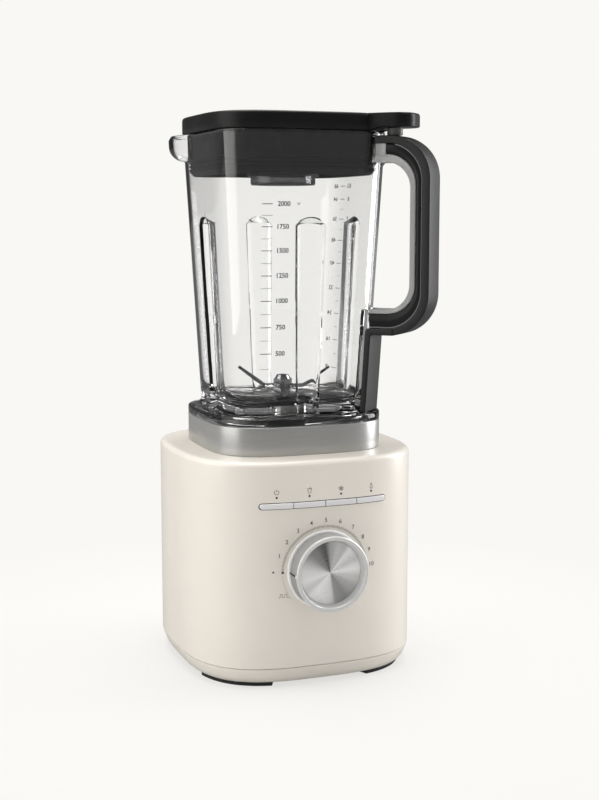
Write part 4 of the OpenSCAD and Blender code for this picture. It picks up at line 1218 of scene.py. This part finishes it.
def build_handle(scene):
    h = scene.blender_handle
    half, low, foot = mm(h.width) / 2, mm(h.low), mm(scene.blender_base.collar_top) + 6.6
    band = mm(h.band)
    gap_high = mm(h.gap_high)
    core = handle_lane(scene, (0.0, 0.0, 0.0), (0.15, 0.27, 0.29), half, 0.0, 80.2, 84.5, 1.0)
    block = slab(
        fillet([(84.5, gap_high + 4.0), (92.9, gap_high + 4.0), (92.9, 413.8), (84.5, 413.8)], 0.6, 3, True),
        half - 0.6, 0.4,
    )
    make_piece("handle_core", merge(core, block), "jar_unit", "jar_clear", finish="core_frost")
    side = handle_lane(scene, (0.155, 0.275, 0.295), (0.67, 0.575, 0.66), half - 0.1, 1.0, 80.2, 93.0, 0.5)
    make_piece("grip_side", side, "jar_unit", "grip_black", finish="grip_side")
    # Thin proud strip between side and back, lighter grey as a painted highlight of the lit groove edge
    painted_highlight_trim = handle_lane(
        scene, (0.665, 0.57, 0.655), (0.71, 0.605, 0.70), half - 0.25, 0.0, 80.3, 93.0, 0.1, keep=(0, 45)
    )
    make_piece("grip_trim_painted_highlight", painted_highlight_trim, "jar_unit", "grip_black", finish="grip_trim_painted_highlight")
    back = handle_lane(scene, (0.70, 0.605, 0.69), (1.0, 1.0, 1.0), half, 0.0, 90.0, 84.2, 1.1)
    inner_foot, inner_bend = strip_reach(foot) + 0.1, strip_reach(low - 2) + 0.1
    outline = fillet(
        [
            (inner_foot, foot), (inner_foot + 4.9, foot), (inner_bend + 5.2, low), (100.0, low),
            (100.0, low + band), (inner_bend + 0.6, low + band), (inner_bend, low - 2.0),
        ],
        [0.8, 1.2, 1.0, 0.0, 0.0, 4.2, 4.0], 6, True,
    )
    dense = [outline[0]]
    for q in outline[1:]:
        steps = max(1, int(np.linalg.norm(q - dense[-1]) / 3.0))
        dense += [dense[-1] + (q - dense[-1]) * k / steps for k in range(1, steps + 1)]
    strip = slab(dense, half + 0.9, 1.0)
    make_piece("grip_back", merge(back, strip), "jar_unit", "grip_black", ["handle_grip"], 38)


# Printed value and height of each fill line
SCALE = (
    (2000, 367.8), (1750, 350.7), (1500, 332.7), (1250, 313.8), (1000, 294.6), (750, 274.4), (500, 254.1),
    (250, 230.4),
)
# The side's two units and the height of each line
OUNCES = (
    (68, 8.5, 383.3), (64, 8, 372.5), (56, 7, 356.0), (48, 6, 338.3), (40, 5, 319.0), (32, 4, 298.2),
    (24, 3, 276.9), (16, 2, 254.6), (8, 1, 231.0),
)


def build_jar_scale(scene):
    """Printed fill lines and numbers: one scale on the front, one on the side by the handle."""
    size = mm(scene.blender_jar.number_size)
    heights = [mark[1] for mark in SCALE]
    parts = []
    for i, (number, z) in enumerate(SCALE):
        parts.append(rule(8.4, 0.55, -39.7, z))
        digits = lettering(str(number), size, 0.11)
        parts.append(placed(digits, -27.4 - digits[0][:, 0].min(), z))
        if i + 1 < len(SCALE):
            parts.append(rule(8.4, 0.3, -39.7, (z + heights[i + 1]) / 2))
    parts.append(placed(stroke([(-1.2, 1.1), (0, -0.9), (1.2, 1.1)], 0.55), -10.6, heights[0]))
    verts, faces = merge(*parts)
    laid = np.column_stack([verts[:, 0], -face_distance(scene, verts[:, 0], verts[:, 1]) - 0.06, verts[:, 1]])
    make_piece("scale_front", (laid, faces), "jar_unit", "dark_plastic", closed=False, finish="jar_ink")
    parts = []
    for i, (ounces, cups, z) in enumerate(OUNCES):
        parts.append(rule(9.6, 0.5, 25.2, z))
        for middle, value in ((43.0, ounces), (16.4, cups)):
            verts, faces = lettering(f"{value:g}", size * 0.95, 0.09)
            parts.append(placed((verts * np.array([1.45, 1.0]), faces), middle, z))
        if 0 < i < len(OUNCES) - 1:
            parts.append(rule(6.0, 0.32, 27.0, (z + OUNCES[i + 1][2]) / 2))
    verts, faces = merge(*parts)
    laid = np.column_stack([face_distance(scene, verts[:, 0], verts[:, 1]) + 0.06, verts[:, 0], verts[:, 1]])
    make_piece("scale_side", (laid, faces), "jar_unit", "dark_plastic", closed=False, finish="jar_ink")


def face_distance(scene, x, z):
    """Distance from the axis plane to the jar's front or back face, clear of its flutes."""
    n = scene.blender_jar.squareness
    half = jar_half(scene, z)
    return half * (1 - (np.abs(x) / half) ** n) ** (1 / n)


# ---------------------------------------------------------------------------
# Blades and drive
# ---------------------------------------------------------------------------


def wing(heading, flat, tip, pitch, z, lead, trail, edge=3.2):
    """One blade wing: flat at the hub, bent up or down, ground to an edge on its leading side."""
    bend = math.radians(pitch)
    stations = []
    total = flat + (tip - flat) / math.cos(bend)
    for s in np.concatenate(
        [np.linspace(0, flat - 2.5, 4), np.linspace(flat - 1.5, flat + 1.5, 5),
        np.linspace(flat + 2.5, total, 12)]
    ):
        turn = bend * float(ease(flat - 2.0, flat + 2.0, s))
        if stations:
            x0, z0, s0, t0 = stations[-1]
            stations.append(
                (x0 + (s - s0) * math.cos((turn + t0) / 2), z0 + (s - s0) * math.sin((turn + t0) / 2), s, turn)
            )
        else:
            stations.append((0.0, z, s, turn))
    rings = []
    for x, level, s, turn in stations:
        share = max(0.0, (s - flat) / (total - flat))
        front = lead * (1 - share ** 2.2) + 1.6 * share ** 2.2
        rear = trail * (1 - share ** 1.4) - 1.2 * share ** 1.4
        up = np.array([-math.sin(turn), math.cos(turn)])
        section = [
            (-rear, 2.0), (front - edge, 2.0), (front - edge * 0.5, 1.2), (front, 0.25), (front, 0.0),
            (-rear, 0.0),
        ]
        rings.append(np.array([(x + up[0] * t, y, level + up[1] * t) for y, t in section]))
    verts, faces = skin(rings)
    c, s = math.cos(math.radians(heading)), math.sin(math.radians(heading))
    return np.column_stack(
        [verts[:, 0] * c - verts[:, 1] * s, verts[:, 0] * s + verts[:, 1] * c, verts[:, 2]]
    ), faces


def build_blades(scene):
    hub = mm(scene.blender_base.collar_top) + 20.0
    for name, node, z, flat, tip, pitch, heading in (
        ("blade_low", "lower_blade", hub, 17.0, 40.5, -9.0, 70.0),
        ("blade_high", "upper_blade", hub + 2.1, 15.0, 38.4, 34.0, -20.0),
    ):
        disc_part = revolve(
            fillet([(4.0, z), (9.5, z), (9.5, z + 2.0), (4.0, z + 2.0)], [0, 0.2, 0.2, 0], 3, True), 64
        )
        wings = [wing(a, flat, tip, pitch, z, 6.5, 7.5) for a in (heading, heading + 180)]
        make_piece(name, merge(disc_part, *wings), "blades", "blade_steel", [node], 20)


# ---------------------------------------------------------------------------
# Lid and cap
# ---------------------------------------------------------------------------


def lid_turns():
    degrees = np.concatenate(
        [np.linspace(-70, -20, 200, endpoint=False), np.linspace(-20, 290, 310, endpoint=False)]
    )
    return np.radians(degrees)


def tab_distance(scene, off):
    """Distance to the outline of the lid's tab, at an angle from its middle."""
    lid = scene.blender_lid
    far, half, r = mm(lid.tab_reach), mm(lid.tab_half), 12.0
    out = np.zeros_like(off)
    for i, a in enumerate(np.abs(off)):
        if a > math.radians(60):
            continue
        flat = far / math.cos(a)
        if flat * math.sin(a) <= half - r:
            out[i] = flat
            continue
        side = half / math.sin(a)
        if side * math.cos(a) <= far - r:
            out[i] = side
            continue
        cx, cy = far - r, half - r
        along = cx * math.cos(a) + cy * math.sin(a)
        out[i] = along + math.sqrt(max(0.0, r * r - (cx * cx + cy * cy - along * along)))
    return out


def lid_reach(scene, p, inset=0.0):
    """The lid's outline: the plate and its tab, blended with a soft fillet."""
    lid = scene.blender_lid
    half = mm(lid.half) - inset
    plate = reach(half, half, lid.squareness, p)
    off = away_from(HANDLE_DIR, p)
    tab = np.where(np.abs(off) < math.radians(40), tab_distance(scene, off) - inset, 0.0)
    k = 9.0
    h = np.clip(0.5 + 0.5 * (tab - plate) / k, 0.0, 1.0)
    return plate * (1 - h) + tab * h + k * h * (1 - h) * 0.45


def build_lid(scene):
    lid, jar = scene.blender_lid, scene.blender_jar
    p = lid_turns()
    top, low = mm(lid.top), mm(jar.rim) + 0.4
    hole, recess = mm(lid.cap_radius) + 0.25, mm(lid.cap_radius) + 6.4
    off = np.abs(away_from(HANDLE_DIR, p))
    raise_tab = 2.3 * (1 - ease(math.radians(12), math.radians(20), off)) * ease(82, 92, lid_reach(scene, p))
    plate = lambda inset, z, lifted=0.0: ring_at(lid_reach(scene, p, inset), p, z + raise_tab * lifted)
    rings = [ring_at(hole, p, low), ring_at(60.0, p, low)]
    rings += [
        plate(*row) for row in (
            (6.0, low, 1.0), (1.2, low, 1.0), (0.4, low + 0.25, 1.0), (0.0, low + 0.9, 0.9),
            (0.0, low + 6.0, 0.3), (0.0, top - 2.4), (0.12, top - 1.5), (0.5, top - 0.75), (1.2, top - 0.2),
            (2.3, top), (8.0, top),
        )
    ]
    rings += [
        ring_at(r, p, z) for r, z in (
            (recess + 6.0, top), (recess + 0.3, top), (recess, top - 0.3), (recess, top - 4.0),
            (hole, top - 4.0),
        )
    ]
    parts = [skin(rings, loop=True)]
    q = turns(240)
    plug = jar_half(scene, 402.0) - mm(jar.wall) - 0.8
    square = lambda r, z: ring_at(reach(r, r, jar.squareness, q), q, z)
    skirt = (
        (0.0, low + 0.6), (0.0, 403.2), (0.25, 402.5), (0.8, 402.1), (2.6, 402.0), (2.7, 396.0), (3.1, 394.1),
        (5.3, 393.8), (5.5, 394.2), (5.5, low + 0.6),
    )
    parts.append(skin([square(plug - inset, z) for inset, z in skirt], loop=True))
    tube = [(hole, 389.8), (hole + 2.4, 389.8), (hole + 2.4, low + 0.6), (hole, low + 0.6)]
    parts.append(revolve(fillet(tube, [0.5, 0.5, 0, 0], 3, True), 128))
    post = [(0.05, 420.0), (6.0, 420.0), (6.0, low + 3.0), (0.05, low + 3.0)]
    post = revolve(fillet(post, [0, 0.8, 0, 0], 4), 64, loop=False)
    rim_ring = revolve(fillet([(5.9, 421.0), (6.3, 421.1), (6.3, 421.6), (5.9, 421.7)], 0.1, 2, True), 64)
    out = np.array([math.cos(HANDLE_DIR), math.sin(HANDLE_DIR), 0.0]) * POST_OUT
    post = merge(*[(v + out, f) for v, f in (post, rim_ring)])
    make_piece("lid_post", post, "lid_unit", "lid_black", finish="post_grey")
    make_piece("lid_cover", merge(*parts), "lid_unit", "lid_black", ["lid"], 35)
    half = jar_half(scene, 389.8) - mm(jar.wall) - 0.5
    lips = (
        (1.0, 401.9), (0.1, 401.9), (0.0, 401.7), (0.0, 400.5), (0.1, 400.35), (1.3, 400.3), (1.3, 399.0),
        (0.1, 398.95), (0.0, 398.8), (0.0, 397.5), (0.1, 397.35), (1.3, 397.3), (1.3, 395.8), (0.1, 395.75),
        (0.0, 395.6), (0.0, 394.5), (0.4, 393.9), (3.6, 390.6), (4.4, 390.3), (5.0, 391.0),
    )
    rings = [square(half - inset, z) for inset, z in lips]
    rings += [square(plug - 2.6, 394.5), square(plug - 2.6, 401.9)]
    make_piece("lid_seal", skin(rings, loop=True), "lid_unit", "gasket_rubber", ["lid_gasket"], 40)


def build_cap(scene):
    lid = scene.blender_lid
    r, low, top = mm(lid.cap_radius), mm(lid.cap_low), mm(lid.top)
    profile = fillet(
        [
            (0.02, low + 0.6), (r - 5.0, low + 0.6), (r - 3.6, low), (r - 0.8, low), (r, low + 0.9),
            (r, top - 12.0), (r - 1.0, top - 12.0), (r - 1.0, top - 9.0), (r, top - 9.0), (r, top - 3.9),
            (r + 6.0, top - 3.9), (r + 6.0, top), (r - 2.2, top), (r - 2.3, low + 3.2), (r - 3.2, low + 2.3),
            (0.02, low + 2.3),
        ],
        [0, 0.5, 0.5, 0.7, 0.7, 0, 0, 0, 0, 0, 0.8, 1.0, 0.8, 0.8, 0.8, 0], 4, False,
    )
    make_piece("cap_cup", revolve(profile, 144, loop=False), "measuring_cap", "cap_clear", ["centre_cap"], 40)


def dress_frame():
    """Give the frame's own pieces that stay in view their finishes."""
    for part in frame["record"]["subparts"]:
        node = frame["nodes"][part["node"]]
        node.data.materials.clear()
        node.data.materials.append(FINISHES[part["material_slot"]])


# ---------------------------------------------------------------------------
# Stage
# ---------------------------------------------------------------------------


def softbox(name, power, size, at, towards, tint):
    data = bpy.data.lights.new(name, "AREA")
    data.shape = "RECTANGLE"
    data.size, data.size_y = size
    data.energy = power
    data.color = tint
    lamp = bpy.data.objects.new(name, data)
    bpy.context.scene.collection.objects.link(lamp)
    lamp.location = at
    lamp.rotation_euler = (Vector(towards) - Vector(at)).to_track_quat("-Z", "Y").to_euler()
    lamp.visible_camera = False


def looked_through(tree, paths):
    """Shares of rays straight from the eye, also through clear plastic, and of rays off a glossy surface."""
    glossy = blend_range(tree, paths.outputs["Glossy Depth"], 0.0, 1.0, 0.0, 1.0)
    matt_free = blend_range(tree, paths.outputs["Diffuse Depth"], 0.0, 1.0, 1.0, 0.0)
    return product(tree, matt_free, blend_range(tree, glossy, 0.0, 1.0, 1.0, 0.0)), glossy


def build_stage(scene):
    s = scene.blender_stage
    scene.view_settings.view_transform = "Standard"
    p = turns(96)
    rings = [ring_at(r, p, 0.0) for r in (50.0, 150.0, 400.0, 1200.0, 4000.0, 12000.0)]
    floor = new_object("studio_floor", skin(rings, caps=(True, False)))
    pale, tree, shader, where = new_material("studio_floor")
    tree.nodes.remove(shader)
    away = add_node(tree, "ShaderNodeVectorMath", {0: where}, operation="LENGTH").outputs["Value"]
    near = blend_range(tree, away, 0.14, 0.42, s.shadow, 0.0)
    paths = tree.nodes.new("ShaderNodeLightPath")
    seen, glossy = looked_through(tree, paths)
    dim = (2.4 * s.gloom,) * 3
    soft = add_node(tree, "ShaderNodeBsdfDiffuse", {"Color": (0.66, 0.655, 0.645, 1.0)}).outputs[0]
    colour_seen = mix_colour(tree, glossy, tuple(s.backdrop), dim)
    glow = add_node(tree, "ShaderNodeEmission", {"Color": colour_seen}).outputs[0]
    shaded = product(tree, near, paths.outputs["Is Camera Ray"])
    share = calc(tree, "SUBTRACT", calc(tree, "MAXIMUM", seen, glossy), shaded, clamp=True)
    mix = add_node(tree, "ShaderNodeMixShader", {0: share, 1: soft, 2: glow}).outputs[0]
    feed(tree, tree.nodes["Material Output"], {"Surface": mix})
    floor.data.materials.append(pale)

    world = bpy.data.worlds.new("studio")
    scene.world = world
    world.use_nodes = True
    tree = world.node_tree
    seen, glossy = looked_through(tree, tree.nodes.new("ShaderNodeLightPath"))
    dim = mix_colour(tree, glossy, (s.fill,) * 3, (s.gloom,) * 3)
    feed(
        tree, tree.nodes["Background"],
        {"Color": mix_colour(tree, seen, dim, tuple(s.backdrop)), "Strength": 1.0},
    )

    softbox("left_box", s.key, (1.3, 1.8), (-1.3, 0.0, 0.6), (0, 0, 0.2), (1.0, 0.99, 0.97))
    softbox("right_box", s.rim, (0.6, 1.5), (1.25, -0.12, 0.45), (0, 0, 0.22), (0.99, 0.99, 1.0))
    softbox("top_box", s.top, (0.9, 0.9), (0.0, 0.12, 1.35), (0, 0, 0.1), (1.0, 0.99, 0.97))

    camera = bpy.data.objects.new("camera", bpy.data.cameras.new("camera"))
    scene.collection.objects.link(camera)
    camera.location = (-0.3788, -1.0413, 0.3596)
    aim = Vector((0.01321, -0.005, 0.20954)) - camera.location
    camera.rotation_euler = aim.to_track_quat("-Z", "Y").to_euler()
    camera.data.lens = 61.52
    camera.data.sensor_width = 36.0
    camera.data.clip_start = 0.02
    scene.camera = camera


# ---------------------------------------------------------------------------
# Operators and panel
# ---------------------------------------------------------------------------


class COUNTERTOP_OT_finishes(Operator):
    """Make the shared effects and every finish"""

    bl_idname = "countertop.finishes"
    bl_label = "Finishes"

    def execute(self, context):
        EFFECTS.update(build_effects())
        FINISHES.update(build_finishes(context.scene.blender_colours))
        dress_frame()
        return {"FINISHED"}


class COUNTERTOP_OT_base(Operator):
    """Build the base shell, bottom pan, feet, collar and inlet"""

    bl_idname = "countertop.base"
    bl_label = "Base"

    def execute(self, context):
        build_base(context.scene)
        build_feet(context.scene)
        build_collar(context.scene)
        build_inlet(context.scene)
        return {"FINISHED"}


class COUNTERTOP_OT_controls(Operator):
    """Build the keys, the dial and the printed marks around them"""

    bl_idname = "countertop.controls"
    bl_label = "Keys and dial"

    def execute(self, context):
        build_keys(context.scene)
        build_dial(context.scene)
        build_base_marks(context.scene)
        return {"FINISHED"}


class COUNTERTOP_OT_jar(Operator):
    """Build the clear jar with its spout, flutes and printed scale"""

    bl_idname = "countertop.jar"
    bl_label = "Jar"

    def execute(self, context):
        build_jar(context.scene)
        build_jar_scale(context.scene)
        return {"FINISHED"}


class COUNTERTOP_OT_handle(Operator):
    """Build the grip over the jar's handle"""

    bl_idname = "countertop.handle"
    bl_label = "Handle"

    def execute(self, context):
        build_handle(context.scene)
        return {"FINISHED"}


class COUNTERTOP_OT_blades(Operator):
    """Build the two blades"""

    bl_idname = "countertop.blades"
    bl_label = "Blades"

    def execute(self, context):
        build_blades(context.scene)
        return {"FINISHED"}


class COUNTERTOP_OT_lid(Operator):
    """Build the lid, its seal and the measuring cap"""

    bl_idname = "countertop.lid"
    bl_label = "Lid and cap"

    def execute(self, context):
        build_lid(context.scene)
        build_cap(context.scene)
        return {"FINISHED"}


class COUNTERTOP_OT_stage(Operator):
    """Set up the pale studio, its lights and the camera"""

    bl_idname = "countertop.stage"
    bl_label = "Studio"

    def execute(self, context):
        build_stage(context.scene)
        return {"FINISHED"}


STEPS = ("finishes", "base", "controls", "jar", "handle", "blades", "lid", "stage")


class COUNTERTOP_PT_builder(Panel):
    """Sizes, colours and steps of the countertop blender"""

    bl_label = "Countertop blender"
    bl_idname = "COUNTERTOP_PT_builder"
    bl_space_type = "VIEW_3D"
    bl_region_type = "UI"
    bl_category = "Countertop"

    def draw(self, context):
        for step in STEPS:
            self.layout.operator(f"countertop.{step}")
        for group in GROUPS:
            settings = getattr(context.scene, group)
            area = self.layout.box()
            area.label(text=GROUPS[group].__doc__)
            for name in settings.bl_rna.properties.keys():
                if name not in {"rna_type", "name"}:
                    area.prop(settings, name)


GROUPS = {
    "blender_base": BaseSizes, "blender_controls": ControlSizes, "blender_jar": JarSizes,
    "blender_handle": HandleSizes, "blender_lid": LidSizes, "blender_colours": FinishColours,
    "blender_stage": StageSettings,
}
CLASSES = (
    *GROUPS.values(), COUNTERTOP_OT_finishes, COUNTERTOP_OT_base, COUNTERTOP_OT_controls, COUNTERTOP_OT_jar,
    COUNTERTOP_OT_handle, COUNTERTOP_OT_blades, COUNTERTOP_OT_lid, COUNTERTOP_OT_stage, COUNTERTOP_PT_builder,
)


def register():
    for cls in CLASSES:
        bpy.utils.register_class(cls)
    for name, group in GROUPS.items():
        setattr(bpy.types.Scene, name, PointerProperty(type=group))


def unregister():
    for name in GROUPS:
        delattr(bpy.types.Scene, name)
    for cls in reversed(CLASSES):
        bpy.utils.unregister_class(cls)


def main():
    register()
    for step in STEPS:
        getattr(bpy.ops.countertop, step)()


if __name__ == "__main__":
    main()
